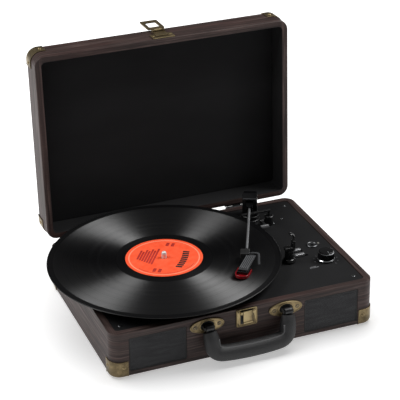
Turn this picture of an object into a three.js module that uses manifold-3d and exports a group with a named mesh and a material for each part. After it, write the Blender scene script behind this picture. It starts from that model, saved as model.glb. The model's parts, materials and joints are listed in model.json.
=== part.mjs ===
// Suitcase record player, open, with a long-playing record on its platter.
// Millimetres, +Z up, +X to the right, +Y towards the hinges. It is drawn about the middle
// of the case and then moved, so that the origin is on the surface that the rubber feet
// stand on, under the middle of the whole open player.
import * as THREE from 'three';
import { mergeVertices } from 'three/addons/utils/BufferGeometryUtils.js';
import Module from 'manifold-3d';

const wasm = await Module();
wasm.setup();

// ---------------------------------------------------------------- driving sizes
const GAP = 0.3; // space left between touching pieces
const ORIGIN_SHIFT = [16, -26.6]; // middle of the case, from the middle of the open player

// case
const CASE_W = 352;
const CASE_D = 258;
const CORNER_R = 14; // upright corners of base and lid
const FOOT_H = 2.5; // feet stand this far below the case
const BASE_TOP = 63.2; // top edge of the base
const BASE_WALL = 9;
const DECK_T = 3;
const DECK_TOP = BASE_TOP - 1;
const PANEL_T = 4; // bottom panel

// lid, drawn closed and then turned open about the hinge line
const LID_WALL = 8.5;
const LID_BOTTOM = BASE_TOP + GAP;
const LID_TOP = 104;
const LID_SKIN = 5;
const LID_OPEN = THREE.MathUtils.degToRad(91.7);
const HINGE_Y = CASE_D / 2 + 3;
const HINGE_Z = BASE_TOP - 2.2;
const HINGE_X = 96; // each hinge is this far from the middle
const BACK = CASE_D / 2;
const FRONT = -CASE_D / 2;

// platter and record
const SPIN_X = -58;
const SPIN_Y = 5;
const PLATTER_R = 98;
const PLATTER_BASE = DECK_TOP + 3.3;
const PLATTER_TOP = DECK_TOP + 13;
const MAT_T = 0.9;
const RECORD_R = 151;
const RECORD_T = 1.5;
const RECORD_BASE = PLATTER_TOP + GAP + MAT_T + GAP;
const RECORD_TOP = RECORD_BASE + RECORD_T;
const LABEL_R = 50;
const SPINDLE_R = 3.5;
const DRIVE_RING_R = 70; // ring under the platter that the belt runs on
const PULLEY_R = 5;
const PULLEY_FROM_SPINDLE = 84;
const BELT_Z = PLATTER_BASE + 1.6;
const BELT_H = 4;

// tonearm
const ARM_X = 98;
const ARM_Y = 90;
const ARM_Z = RECORD_TOP + 8.8; // tube axis
const ARM_TURN = THREE.MathUtils.degToRad(-24.7); // from straight ahead to the groove
const SHELL_TURN = THREE.MathUtils.degToRad(-14); // headshell offset from the tube
const TUBE_R = 2.2;
const TUBE_END = 138;
const SHELL_START = 153;
const REST_REACH = 132; // pivot to arm rest

// controls on the deck
const KNOB_X = 143.5;
const KNOB_Y = -55.5;
const KNOB_R = 11;
const JACK_X = 143.5;
const JACK_Y = -13;
const JACK_R = 7.4;
const SPEED_X = 116;
const SPEED_Y = -34;
const AUTOSTOP_X = 118.5;
const AUTOSTOP_Y = -21;

// front fittings
const HANDLE_X = 52.5; // plate centres
const HANDLE_Z = 50.5; // pivot height
const HANDLE_Y = FRONT - 8;
const HANDLE_TILT = THREE.MathUtils.degToRad(13); // forward of hanging straight down
const GRIP_R = 9.6;
const GRILLE_X = 116.2;
const GRILLE_Z = 31.5;
const GRILLE_W = 74;
const GRILLE_H = 46;
const CAP_REACH = 21; // brass corners run this far along each edge
const CAP_T = 0.9;

// ---------------------------------------------------------------- shape helpers
function toManifold(geometry) {
  const g = geometry.clone();
  g.deleteAttribute('normal');
  g.deleteAttribute('uv');
  const m = mergeVertices(g, 1e-4);
  const mesh = new wasm.Mesh({
    numProp: 3,
    vertProperties: new Float32Array(m.attributes.position.array),
    triVerts: new Uint32Array(m.index.array),
  });
  return new wasm.Manifold(mesh);
}

function toGeometry(solid) {
  const mesh = solid.getMesh();
  const g = new THREE.BufferGeometry();
  g.setAttribute('position', new THREE.BufferAttribute(mesh.vertProperties, 3));
  g.setIndex(new THREE.BufferAttribute(mesh.triVerts, 1));
  const flat = g.toNonIndexed();
  flat.computeVertexNormals();
  return flat;
}

function box(x0, x1, y0, y1, z0, z1) {
  const g = new THREE.BoxGeometry(x1 - x0, y1 - y0, z1 - z0);
  g.translate((x0 + x1) / 2, (y0 + y1) / 2, (z0 + z1) / 2);
  return toManifold(g);
}

// upright cylinder or cone between two heights
function post(x, y, z0, z1, r0, r1 = r0, segments = 32) {
  const g = new THREE.CylinderGeometry(r1, r0, z1 - z0, segments);
  g.rotateX(Math.PI / 2);
  g.translate(x, y, (z0 + z1) / 2);
  return toManifold(g);
}

// cylinder along X
function rodX(x0, x1, y, z, r, segments = 14) {
  const g = new THREE.CylinderGeometry(r, r, x1 - x0, segments);
  g.rotateZ(Math.PI / 2);
  g.translate((x0 + x1) / 2, y, z);
  return toManifold(g);
}

// cylinder along Y
function rodY(x, y0, y1, z, r0, r1 = r0, segments = 20) {
  const g = new THREE.CylinderGeometry(r1, r0, y1 - y0, segments);
  g.translate(x, (y0 + y1) / 2, z);
  return toManifold(g);
}

function roundedRect(w, h, r, cx = 0, cy = 0) {
  const s = new THREE.Shape();
  const x0 = cx - w / 2;
  const x1 = cx + w / 2;
  const y0 = cy - h / 2;
  const y1 = cy + h / 2;
  s.moveTo(x0 + r, y0);
  s.lineTo(x1 - r, y0);
  s.absarc(x1 - r, y0 + r, r, -Math.PI / 2, 0, false);
  s.lineTo(x1, y1 - r);
  s.absarc(x1 - r, y1 - r, r, 0, Math.PI / 2, false);
  s.lineTo(x0 + r, y1);
  s.absarc(x0 + r, y1 - r, r, Math.PI / 2, Math.PI, false);
  s.lineTo(x0, y0 + r);
  s.absarc(x0 + r, y0 + r, r, Math.PI, Math.PI * 1.5, false);
  return s;
}

function extrude(shape, z0, z1, curveSegments = 6) {
  const g = new THREE.ExtrudeGeometry(shape, { depth: z1 - z0, bevelEnabled: false, curveSegments });
  g.translate(0, 0, z0);
  return g;
}

// upright block of the case's outline, grown or shrunk by an offset
function caseBlock(offset, z0, z1) {
  const outline = roundedRect(CASE_W + 2 * offset, CASE_D + 2 * offset, Math.max(CORNER_R + offset, 2));
  return toManifold(extrude(outline, z0, z1, 5));
}

// plate standing in the XZ plane: y0 is its front, y1 its back
function frontPlate(shape, y0, y1, curveSegments = 6) {
  const g = extrude(shape, 0, y1 - y0, curveSegments);
  g.rotateX(Math.PI / 2);
  g.translate(0, y1, 0);
  return toManifold(g);
}

// solid of revolution about an upright axis; profile points are [radius, height]
function turned(profile, segments, x = 0, y = 0) {
  const points = profile.map(([r, z]) => new THREE.Vector2(r, z));
  const g = new THREE.LatheGeometry(points, segments);
  g.rotateX(Math.PI / 2);
  g.translate(x, y, 0);
  return g;
}

// ---------------------------------------------------------------- materials
const COLOURS = {
  wood_wrap: [0x4a3b38, 0.5, 0],
  lining: [0x111112, 0.95, 0],
  deck: [0x1b1b1d, 0.75, 0],
  brass: [0x8f7f5c, 0.38, 1],
  cloth: [0x26272a, 0.95, 0],
  black_plastic: [0x151516, 0.4, 0],
  grip: [0x3d3e40, 0.6, 0],
  steel: [0xb9bbbe, 0.25, 1],
  grey_plastic: [0x77787a, 0.35, 0],
  vinyl: [0x0c0c0d, 0.22, 0],
  label: [0xef5b3a, 0.7, 0],
  red_plastic: [0xa80f1c, 0.3, 0],
  rubber: [0x18181a, 0.9, 0],
  belt: [0x0f0f10, 0.8, 0],
  board: [0x1f5a34, 0.6, 0],
  fibreboard: [0x7a5e42, 0.85, 0],
  felt: [0x202022, 1, 0],
};

function material(key) {
  const [color, roughness, metalness] = COLOURS[key];
  return new THREE.MeshStandardMaterial({ color, roughness, metalness });
}

const player = new THREE.Group();
player.position.set(ORIGIN_SHIFT[0], ORIGIN_SHIFT[1], 0);
const lid = new THREE.Group(); // its children are drawn as if the lid were shut
lid.position.set(0, HINGE_Y, HINGE_Z);
lid.rotation.x = -LID_OPEN;
const shutLid = new THREE.Group();
shutLid.position.set(0, -HINGE_Y, -HINGE_Z);
lid.add(shutLid);
player.add(lid);
const arm = new THREE.Group(); // its children lie along -Y from the pivot
arm.position.set(ARM_X, ARM_Y, 0);
arm.rotation.z = ARM_TURN;
player.add(arm);
const shell = new THREE.Group();
shell.position.set(0, -SHELL_START, 0);
shell.rotation.z = SHELL_TURN;
arm.add(shell);

function add(parent, name, shape, colour) {
  const geometry = shape.isBufferGeometry ? shape : toGeometry(shape);
  const mesh = new THREE.Mesh(geometry, material(colour));
  mesh.name = name;
  parent.add(mesh);
}

// ---------------------------------------------------------------- base of the case
const BLOCK = 20; // glue blocks in the corners, which the deck is screwed to
const blockTop = DECK_TOP - DECK_T - GAP;
const panelTop = FOOT_H + 1 + PANEL_T;
let base = caseBlock(0, FOOT_H, BASE_TOP).subtract(caseBlock(-BASE_WALL, FOOT_H - 1, BASE_TOP + 1));
for (const sx of [-1, 1]) {
  for (const sy of [-1, 1]) {
    const x = sx * (CASE_W / 2 - BASE_WALL);
    const y = sy * (CASE_D / 2 - BASE_WALL);
    const block = box(
      Math.min(x, x - sx * BLOCK) - (sx < 0 ? 1 : 0),
      Math.max(x, x - sx * BLOCK) + (sx > 0 ? 1 : 0),
      Math.min(y, y - sy * BLOCK) - (sy < 0 ? 1 : 0),
      Math.max(y, y - sy * BLOCK) + (sy > 0 ? 1 : 0),
      panelTop + GAP,
      blockTop,
    );
    base = base.add(block.intersect(caseBlock(-1, 0, BASE_TOP)));
  }
}
const REBATE = 2.4; // the grilles sit this deep in the front
for (const sx of [-1, 1]) {
  const pocket = roundedRect(GRILLE_W + 2 * GAP, GRILLE_H + 2 * GAP, 2.3, sx * GRILLE_X, GRILLE_Z);
  const hole = roundedRect(GRILLE_W - 8, GRILLE_H - 5, 2, sx * GRILLE_X, GRILLE_Z);
  base = base.subtract(frontPlate(pocket, FRONT - 1, FRONT + REBATE, 2));
  base = base.subtract(frontPlate(hole, FRONT - 1, FRONT + BASE_WALL + 1, 2));
}
const REAR_X = 70; // sockets in the back wall
const REAR_Z = 30;
const REAR_W = 96;
const REAR_H = 26;
const REAR_Z0 = REAR_Z - REAR_H / 2;
const REAR_Z1 = REAR_Z + REAR_H / 2;
base = base.subtract(box(REAR_X - REAR_W / 2, REAR_X + REAR_W / 2, BACK - 20, BACK + 1, REAR_Z0, REAR_Z1));
add(player, 'base_shell', base, 'wood_wrap');

const panel = roundedRect(CASE_W - 2 * (BASE_WALL + GAP), CASE_D - 2 * (BASE_WALL + GAP), 4.7);
add(player, 'bottom_panel', extrude(panel, FOOT_H + 1, panelTop, 3), 'fibreboard');

const CORNERS = [
  ['front_left', -1, -1],
  ['front_right', 1, -1],
  ['back_left', -1, 1],
  ['back_right', 1, 1],
];
const FOOT_X = 146;
const FOOT_Y = 100;
for (const [name, sx, sy] of CORNERS) {
  add(player, `foot_${name}`, post(sx * FOOT_X, sy * FOOT_Y, 0, FOOT_H + 1 - GAP, 8.5, 9.5, 20), 'rubber');
}

// ---------------------------------------------------------------- deck
let deck = toManifold(extrude(panel, DECK_TOP - DECK_T, DECK_TOP, 3));
const PULLEY_ANGLE = THREE.MathUtils.degToRad(135); // motor, seen from the spindle
const MOTOR_X = SPIN_X + PULLEY_FROM_SPINDLE * Math.cos(PULLEY_ANGLE);
const MOTOR_Y = SPIN_Y + PULLEY_FROM_SPINDLE * Math.sin(PULLEY_ANGLE);
const under = DECK_TOP - DECK_T - 1;
const over = DECK_TOP + 1;
const deckHoles = [
  [SPIN_X, SPIN_Y, 6.6],
  [MOTOR_X, MOTOR_Y, 2.2],
  [KNOB_X, KNOB_Y, 3.4],
  [JACK_X, JACK_Y, 4],
];
for (const [x, y, r] of deckHoles) {
  deck = deck.subtract(post(x, y, under, over, r, r, 16));
}
const SLOT = 1.7; // half the width of the slots that the two switches slide in
deck = deck.subtract(box(SPEED_X - 4, SPEED_X + 12, SPEED_Y - SLOT, SPEED_Y + SLOT, under, over));
const stopSlot = box(AUTOSTOP_X - 3, AUTOSTOP_X + 7, AUTOSTOP_Y - SLOT, AUTOSTOP_Y + SLOT, under, over);
deck = deck.subtract(stopSlot);
add(player, 'deck_plate', deck, 'deck');

// ---------------------------------------------------------------- lid
const lidHollow = caseBlock(-LID_WALL, LID_BOTTOM - 1, LID_TOP - LID_SKIN);
const lidShell = caseBlock(0, LID_BOTTOM, LID_TOP).subtract(lidHollow);
add(shutLid, 'lid_shell', lidShell, 'wood_wrap');
const LINING_T = 1.2;
const liningOutline = roundedRect(CASE_W - 2 * (LID_WALL + GAP), CASE_D - 2 * (LID_WALL + GAP), 5.2);
const liningTop = LID_TOP - LID_SKIN - GAP;
add(shutLid, 'lid_lining', extrude(liningOutline, liningTop - LINING_T, liningTop, 3), 'lining');

// ---------------------------------------------------------------- brass corners
// A cap wraps one corner: two sides and a narrow lip over the third face.
function cornerCap(sx, sy, faceZ, up) {
  const far = faceZ + up * CAP_REACH;
  const lip = faceZ - up * (GAP + CAP_T);
  const lo = Math.min(far, lip);
  const hi = Math.max(far, lip);
  const inner = faceZ - up * GAP;
  const innerLo = Math.min(far + up, inner);
  const innerHi = Math.max(far + up, inner);
  const skin = caseBlock(GAP + CAP_T, lo, hi).subtract(caseBlock(GAP, innerLo, innerHi));
  const window = caseBlock(-12, lo - 1, hi + 1);
  const x = sx * (CASE_W / 2 + 2);
  const y = sy * (CASE_D / 2 + 2);
  const corner = box(
    Math.min(x, x - sx * (CAP_REACH + 2)),
    Math.max(x, x - sx * (CAP_REACH + 2)),
    Math.min(y, y - sy * (CAP_REACH + 2)),
    Math.max(y, y - sy * (CAP_REACH + 2)),
    lo,
    hi,
  );
  return skin.subtract(window).intersect(corner);
}
for (const [name, sx, sy] of CORNERS) {
  add(player, `base_corner_${name}`, cornerCap(sx, sy, FOOT_H, 1), 'brass');
  add(shutLid, `lid_corner_${name}`, cornerCap(sx, sy, LID_TOP, -1), 'brass');
}

// ---------------------------------------------------------------- hinges
const KNUCKLE_R = 2.6;
const PIN_R = 1.1;
const LEAF_T = 1.1;
const LEAF_W = 32;
const MIDDLE_W = 11; // the lid leaf's knuckle
for (const [name, x] of [['left', -HINGE_X], ['right', HINGE_X]]) {
  const leafY0 = BACK + GAP;
  const leafY1 = leafY0 + LEAF_T;
  const bore = rodX(x - LEAF_W, x + LEAF_W, HINGE_Y, HINGE_Z, PIN_R + 0.25);
  const clear = KNUCKLE_R + GAP;
  let baseLeaf = box(x - LEAF_W / 2, x + LEAF_W / 2, leafY0, leafY1, HINGE_Z - 17, HINGE_Z - clear);
  let lidLeaf = box(x - LEAF_W / 2, x + LEAF_W / 2, leafY0, leafY1, HINGE_Z + clear, HINGE_Z + 17);
  const webTop = HINGE_Z - 1;
  for (const s of [-1, 1]) {
    const x0 = x + (s * (MIDDLE_W / 2 + GAP) + s * LEAF_W / 2) / 2 - (LEAF_W / 2 - MIDDLE_W / 2 - GAP) / 2;
    const x1 = x0 + LEAF_W / 2 - MIDDLE_W / 2 - GAP;
    baseLeaf = baseLeaf.add(rodX(x0, x1, HINGE_Y, HINGE_Z, KNUCKLE_R));
    baseLeaf = baseLeaf.add(box(x0, x1, leafY0, leafY1, HINGE_Z - 4, webTop));
  }
  baseLeaf = baseLeaf.add(rodX(x - LEAF_W / 2, x + LEAF_W / 2, HINGE_Y, HINGE_Z, PIN_R));
  const m0 = x - MIDDLE_W / 2;
  const m1 = x + MIDDLE_W / 2;
  lidLeaf = lidLeaf.add(box(m0, m1, leafY0, leafY1, HINGE_Z + 1, HINGE_Z + 4));
  lidLeaf = lidLeaf.add(rodX(m0, m1, HINGE_Y, HINGE_Z, KNUCKLE_R)).subtract(bore);
  add(player, `hinge_${name}_base_leaf`, baseLeaf, 'brass');
  add(shutLid, `hinge_${name}_lid_leaf`, lidLeaf, 'brass');
}

// ---------------------------------------------------------------- lid hasp
// Drawn on the shut lid's front, with its loop thrown back towards the top.
const HASP_Z = LID_BOTTOM + 26; // loop pivot
const HASP_Y = FRONT - 3.4;
const HASP_W = 30;
const HOUSING_W = 17;
const haspY0 = FRONT - GAP - 1.1;
let hasp = box(-HASP_W / 2, HASP_W / 2, haspY0, FRONT - GAP, LID_BOTTOM + 1, LID_BOTTOM + 17);
hasp = hasp.add(box(-HOUSING_W / 2, HOUSING_W / 2, haspY0 - 1, FRONT - GAP, LID_BOTTOM + 7, HASP_Z - 3));
for (const s of [-1, 1]) {
  const ear = s * (HOUSING_W / 2 - 1.5);
  hasp = hasp.add(box(ear - 1.5, ear + 1.5, HASP_Y - 1.4, FRONT - GAP, HASP_Z - 4, HASP_Z + 1.6));
}
hasp = hasp.add(rodX(-HOUSING_W / 2, HOUSING_W / 2, HASP_Y, HASP_Z, 0.9, 12));
add(shutLid, 'hasp_plate', hasp, 'brass');
const EYE_W = 10.4;
const LOOP_W = 24;
const LOOP_LEN = 40;
const LOOP_T = 1.4;
const loopY0 = HASP_Y - LOOP_T / 2;
const loopY1 = HASP_Y + LOOP_T / 2;
let loop = rodX(-EYE_W / 2, EYE_W / 2, HASP_Y, HASP_Z, 1.9, 16);
loop = loop.add(box(-EYE_W / 2, EYE_W / 2, loopY0, loopY1, HASP_Z + 1, HASP_Z + 6));
const loopFrame = roundedRect(LOOP_W, LOOP_LEN - 5, 2.5, 0, HASP_Z + 5 + (LOOP_LEN - 5) / 2);
const loopHole = roundedRect(14.5, 20, 1.2, 0, HASP_Z + 12 + 10);
loop = loop.add(frontPlate(loopFrame, loopY0, loopY1, 3));
loop = loop.subtract(frontPlate(loopHole, loopY0 - 1, loopY1 + 1, 3));
loop = loop.subtract(rodX(-LOOP_W, LOOP_W, HASP_Y, HASP_Z, 1.15, 16));
add(shutLid, 'hasp_loop', loop, 'brass');

// ---------------------------------------------------------------- base latch
const LATCH_W = 28;
const LATCH_Z0 = 38;
const LATCH_Z1 = 62.4;
const CATCH_W = 12;
const CATCH_Z0 = 45.5;
const CATCH_Z1 = 60.6;
const latchOutline = roundedRect(LATCH_W, LATCH_Z1 - LATCH_Z0, 2, 0, (LATCH_Z0 + LATCH_Z1) / 2);
let latch = frontPlate(latchOutline, FRONT - GAP - 1.1, FRONT - GAP, 3);
for (const s of [-1, 1]) {
  const lug = s * (CATCH_W / 2 + 2);
  latch = latch.add(box(lug - 1, lug + 1, FRONT - 5.2, FRONT - GAP, CATCH_Z1 - 4, CATCH_Z1 - 0.4));
}
const CATCH_PIVOT_Z = CATCH_Z1 - 2.2;
const CATCH_Y = FRONT - 3.9;
latch = latch.add(rodX(-CATCH_W / 2 - 2, CATCH_W / 2 + 2, CATCH_Y, CATCH_PIVOT_Z, 0.6, 12));
add(player, 'latch_plate', latch, 'brass');
let catchTab = box(-CATCH_W / 2, CATCH_W / 2, FRONT - 5.4, FRONT - 4, CATCH_Z0, CATCH_Z1);
catchTab = catchTab.add(rodX(-CATCH_W / 2, CATCH_W / 2, CATCH_Y, CATCH_PIVOT_Z, 1.5, 16));
const catchLip = box(-CATCH_W / 2, CATCH_W / 2, FRONT - 6.4, FRONT - 4.2, CATCH_Z0 - 1.2, CATCH_Z0 + 0.4);
catchTab = catchTab.add(catchLip);
catchTab = catchTab.subtract(rodX(-CATCH_W, CATCH_W, CATCH_Y, CATCH_PIVOT_Z, 0.85, 12));
add(player, 'latch_catch', catchTab, 'brass');

// ---------------------------------------------------------------- handle
// Each plate is a long oval with a raised pair of ears that carry the pivot pin.
const PLATE_W = 45;
const PLATE_H = 19;
const EAR_GAP = 10.6;
const EAR_T = 1.6;
const EYE_R = 4.6;
const PIVOT_PIN_R = 1.6;
for (const [name, sx] of [['left', -1], ['right', 1]]) {
  const x = sx * HANDLE_X;
  const oval = new THREE.Shape();
  oval.absellipse(x, HANDLE_Z, PLATE_W / 2, PLATE_H / 2, 0, Math.PI * 2, false, 0);
  let plate = frontPlate(oval, FRONT - GAP - 1.3, FRONT - GAP, 8);
  for (const s of [-1, 1]) {
    const e0 = x + s * (EAR_GAP / 2 + EAR_T / 2) - EAR_T / 2;
    const earBack = FRONT - GAP - 0.4;
    plate = plate.add(box(e0, e0 + EAR_T, HANDLE_Y - 2.4, earBack, HANDLE_Z - 2.4, HANDLE_Z + 2.4));
  }
  const pinHalf = EAR_GAP / 2 + EAR_T;
  plate = plate.add(rodX(x - pinHalf, x + pinHalf, HANDLE_Y, HANDLE_Z, PIVOT_PIN_R, 16));
  add(player, `handle_plate_${name}`, plate, 'brass');
}

// The grip is one bent tube: two legs and a slightly bowed bar, tilted forward.
const GRIP_START = 8.2; // legs begin this far from the pivot
const GRIP_DROP = 35.5; // pivot to the middle of the bar
const GRIP_BOW = 2.5;
const BEND = 13.5;
const LEG_X = HANDLE_X - 2.3; // the legs lean in a little from their pivots
function gripPoint(x, s) {
  const y = HANDLE_Y - s * Math.sin(HANDLE_TILT);
  const z = HANDLE_Z - s * Math.cos(HANDLE_TILT);
  return new THREE.Vector3(x, y, z);
}
const gripPath = new THREE.CurvePath();
const legEnd = GRIP_DROP - BEND;
gripPath.add(new THREE.LineCurve3(gripPoint(-HANDLE_X, GRIP_START), gripPoint(-LEG_X, legEnd)));
gripPath.add(
  new THREE.CubicBezierCurve3(
    gripPoint(-LEG_X, legEnd),
    gripPoint(-LEG_X, legEnd + BEND * 0.6),
    gripPoint(-LEG_X + BEND * 0.4, GRIP_DROP - 1),
    gripPoint(-LEG_X + BEND, GRIP_DROP),
  ),
);
gripPath.add(
  new THREE.CubicBezierCurve3(
    gripPoint(-LEG_X + BEND, GRIP_DROP),
    gripPoint(-LEG_X / 3, GRIP_DROP + GRIP_BOW),
    gripPoint(LEG_X / 3, GRIP_DROP + GRIP_BOW),
    gripPoint(LEG_X - BEND, GRIP_DROP),
  ),
);
gripPath.add(
  new THREE.CubicBezierCurve3(
    gripPoint(LEG_X - BEND, GRIP_DROP),
    gripPoint(LEG_X - BEND * 0.4, GRIP_DROP - 1),
    gripPoint(LEG_X, legEnd + BEND * 0.6),
    gripPoint(LEG_X, legEnd),
  ),
);
gripPath.add(new THREE.LineCurve3(gripPoint(LEG_X, legEnd), gripPoint(HANDLE_X, GRIP_START)));
const gripSection = new THREE.Shape();
gripSection.absellipse(0, 0, GRIP_R, GRIP_R, 0, Math.PI * 2, false, 0);
const gripTube = new THREE.ExtrudeGeometry(gripSection, {
  extrudePath: gripPath,
  steps: 22,
  curveSegments: 5,
  bevelEnabled: false,
});
let grip = toManifold(gripTube);
for (const sx of [-1, 1]) {
  const x = sx * HANDLE_X;
  const link = box(-5, 5, -2.6, 2.6, -GRIP_START - 3, 0);
  const matrix = new THREE.Matrix4().makeRotationX(-HANDLE_TILT);
  matrix.setPosition(x, HANDLE_Y, HANDLE_Z);
  grip = grip.add(link.transform(matrix.elements));
  grip = grip.add(rodX(x - 5, x + 5, HANDLE_Y, HANDLE_Z, EYE_R, 20));
  grip = grip.subtract(rodX(x - 9, x + 9, HANDLE_Y, HANDLE_Z, PIVOT_PIN_R + 0.3, 16));
}
add(player, 'handle_grip', grip, 'grip');

// ---------------------------------------------------------------- speakers
const DRIVER_R = 21;
for (const [name, sx] of [['left', -1], ['right', 1]]) {
  const outline = roundedRect(GRILLE_W, GRILLE_H, 2, sx * GRILLE_X, GRILLE_Z);
  add(player, `speaker_grille_${name}`, frontPlate(outline, FRONT + 0.3, FRONT + REBATE - GAP, 2), 'cloth');
  const back = FRONT + BASE_WALL + GAP;
  // profile along the axis, from the front rim: frame, open cone, basket and magnet
  const profile = [
    [0, 9],
    [5, 7.6],
    [17.5, 1],
    [18.5, 0],
    [DRIVER_R, 0],
    [DRIVER_R, 1.6],
    [12.5, 14],
    [12.5, 22],
    [0, 22],
  ];
  const driver = turned(profile, 16);
  driver.rotateX(-Math.PI / 2);
  driver.translate(sx * GRILLE_X, back, GRILLE_Z);
  add(player, `speaker_driver_${name}`, driver, 'black_plastic');
}

// ---------------------------------------------------------------- rear sockets
let sockets = box(
  REAR_X - REAR_W / 2 + GAP,
  REAR_X + REAR_W / 2 - GAP,
  BACK - 5,
  BACK - 2,
  REAR_Z0 + GAP,
  REAR_Z1 - GAP,
);
for (const dx of [-30, -14]) {
  sockets = sockets.add(rodY(REAR_X + dx, BACK - 14, BACK + 6, REAR_Z, 4.1, 4.1, 12));
  sockets = sockets.subtract(rodY(REAR_X + dx, BACK - 4, BACK + 7, REAR_Z, 1.7, 1.7, 8));
}
sockets = sockets.add(rodY(REAR_X + 28, BACK - 14, BACK - 2, REAR_Z, 6, 6, 12));
sockets = sockets.subtract(rodY(REAR_X + 28, BACK - 10, BACK, REAR_Z, 2.2, 2.2, 10));
add(player, 'rear_socket_panel', sockets, 'black_plastic');

// ---------------------------------------------------------------- platter and record
const ringTop = PLATTER_TOP - 3;
add(
  player,
  'platter',
  turned(
    [
      [SPINDLE_R + 0.3, PLATTER_BASE],
      [9, PLATTER_BASE],
      [9, ringTop],
      [DRIVE_RING_R - 4, ringTop],
      [DRIVE_RING_R - 4, PLATTER_BASE + 1],
      [DRIVE_RING_R, PLATTER_BASE + 1],
      [DRIVE_RING_R, ringTop],
      [PLATTER_R - 3, ringTop],
      [PLATTER_R - 3, PLATTER_BASE + 0.5],
      [PLATTER_R, PLATTER_BASE + 0.5],
      [PLATTER_R, PLATTER_TOP],
      [SPINDLE_R + 0.3, PLATTER_TOP],
      [SPINDLE_R + 0.3, PLATTER_BASE],
    ],
    36,
    SPIN_X,
    SPIN_Y,
  ),
  'black_plastic',
);
const matBase = PLATTER_TOP + GAP;
const matProfile = [
  [SPINDLE_R + 0.5, matBase],
  [PLATTER_R - 1, matBase],
  [PLATTER_R - 1, matBase + MAT_T],
  [SPINDLE_R + 0.5, matBase + MAT_T],
  [SPINDLE_R + 0.5, matBase],
];
add(player, 'slip_mat', turned(matProfile, 32, SPIN_X, SPIN_Y), 'felt');
const LABEL_T = 0.2;
const labelZ = RECORD_TOP - LABEL_T;
const recordProfile = [
  [SPINDLE_R + 0.2, RECORD_BASE],
  [RECORD_R - 0.5, RECORD_BASE],
  [RECORD_R, RECORD_BASE + RECORD_T / 2],
  [RECORD_R - 0.5, RECORD_TOP],
  [LABEL_R + 0.3, RECORD_TOP],
  [LABEL_R + 0.3, labelZ - 0.2],
  [SPINDLE_R + 0.2, labelZ - 0.2],
  [SPINDLE_R + 0.2, RECORD_BASE],
];
add(player, 'record_disc', turned(recordProfile, 60, SPIN_X, SPIN_Y), 'vinyl');
const labelProfile = [
  [SPINDLE_R + 0.3, labelZ],
  [LABEL_R, labelZ],
  [LABEL_R, labelZ + LABEL_T],
  [SPINDLE_R + 0.3, labelZ + LABEL_T],
  [SPINDLE_R + 0.3, labelZ],
];
add(player, 'record_label', turned(labelProfile, 32, SPIN_X, SPIN_Y), 'label');

const SPINDLE_TIP = RECORD_TOP + 9;
const spindleProfile = [
  [0, 36],
  [SPINDLE_R - 0.8, 36],
  [SPINDLE_R, 37],
  [SPINDLE_R, SPINDLE_TIP - 3],
  [SPINDLE_R - 1.4, SPINDLE_TIP - 0.7],
  [0, SPINDLE_TIP],
];
add(player, 'platter_spindle', turned(spindleProfile, 16, SPIN_X, SPIN_Y), 'steel');
const bushProfile = [
  [SPINDLE_R + 0.15, 40],
  [6.2, 40],
  [6.2, DECK_TOP + GAP],
  [8.6, DECK_TOP + GAP],
  [8.6, DECK_TOP + 1.6],
  [SPINDLE_R + 0.15, DECK_TOP + 1.6],
  [SPINDLE_R + 0.15, 40],
];
add(player, 'spindle_bush', turned(bushProfile, 16, SPIN_X, SPIN_Y), 'brass');

// ---------------------------------------------------------------- drive
const MOTOR_TOP = DECK_TOP - DECK_T - GAP;
const motorProfile = [
  [0, 30],
  [13, 30],
  [14, 31],
  [14, MOTOR_TOP],
  [1.6, MOTOR_TOP],
  [1.6, MOTOR_TOP - 12],
  [0, MOTOR_TOP - 12],
];
add(player, 'motor', turned(motorProfile, 16, MOTOR_X, MOTOR_Y), 'steel');
const pulleyLow = BELT_Z - 1.4;
const pulleyProfile = [
  [0, MOTOR_TOP - 11],
  [1.2, MOTOR_TOP - 11],
  [1.2, pulleyLow - 1],
  [PULLEY_R + 1.6, pulleyLow - 1],
  [PULLEY_R + 1.6, pulleyLow],
  [PULLEY_R, pulleyLow + 0.6],
  [PULLEY_R, BELT_Z + BELT_H + 0.4],
  [0, BELT_Z + BELT_H + 0.4],
];
add(player, 'motor_pulley', turned(pulleyProfile, 16, MOTOR_X, MOTOR_Y), 'brass');

// outline of a belt run round the drive ring and the pulley, grown by an offset
function beltOutline(offset, PathClass) {
  const r0 = DRIVE_RING_R + offset;
  const r1 = PULLEY_R + offset;
  const lean = Math.acos((r0 - r1) / PULLEY_FROM_SPINDLE);
  const path = new PathClass();
  path.absarc(0, 0, r0, lean, Math.PI * 2 - lean, false);
  path.absarc(PULLEY_FROM_SPINDLE, 0, r1, -lean, lean, false);
  return path;
}
const BELT_GAP = 0.5;
const BELT_T = 0.9;
const beltShape = beltOutline(BELT_GAP + BELT_T, THREE.Shape);
beltShape.holes.push(beltOutline(BELT_GAP, THREE.Path));
const belt = extrude(beltShape, BELT_Z, BELT_Z + BELT_H, 12);
belt.rotateZ(PULLEY_ANGLE);
belt.translate(SPIN_X, SPIN_Y, 0);
add(player, 'drive_belt', belt, 'belt');

// ---------------------------------------------------------------- circuit board
const BOARD_Z = 44;
let board = box(104, 164, -96, 10, BOARD_Z, BOARD_Z + 1.6);
for (const [x, y] of [[107, -93], [161, -93], [107, 7], [161, 7]]) {
  board = board.add(post(x, y, BOARD_Z, DECK_TOP - DECK_T - GAP, 2.4, 2.4, 10));
}
const potTop = DECK_TOP - DECK_T - 0.8;
board = board.add(box(KNOB_X - 8, KNOB_X + 8, KNOB_Y - 8, KNOB_Y + 8, BOARD_Z, potTop - 3));
board = board.add(box(AUTOSTOP_X - 9, AUTOSTOP_X + 11, SPEED_Y - 4, AUTOSTOP_Y + 4, BOARD_Z, potTop - 5));
add(player, 'circuit_board', board, 'board');

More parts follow.
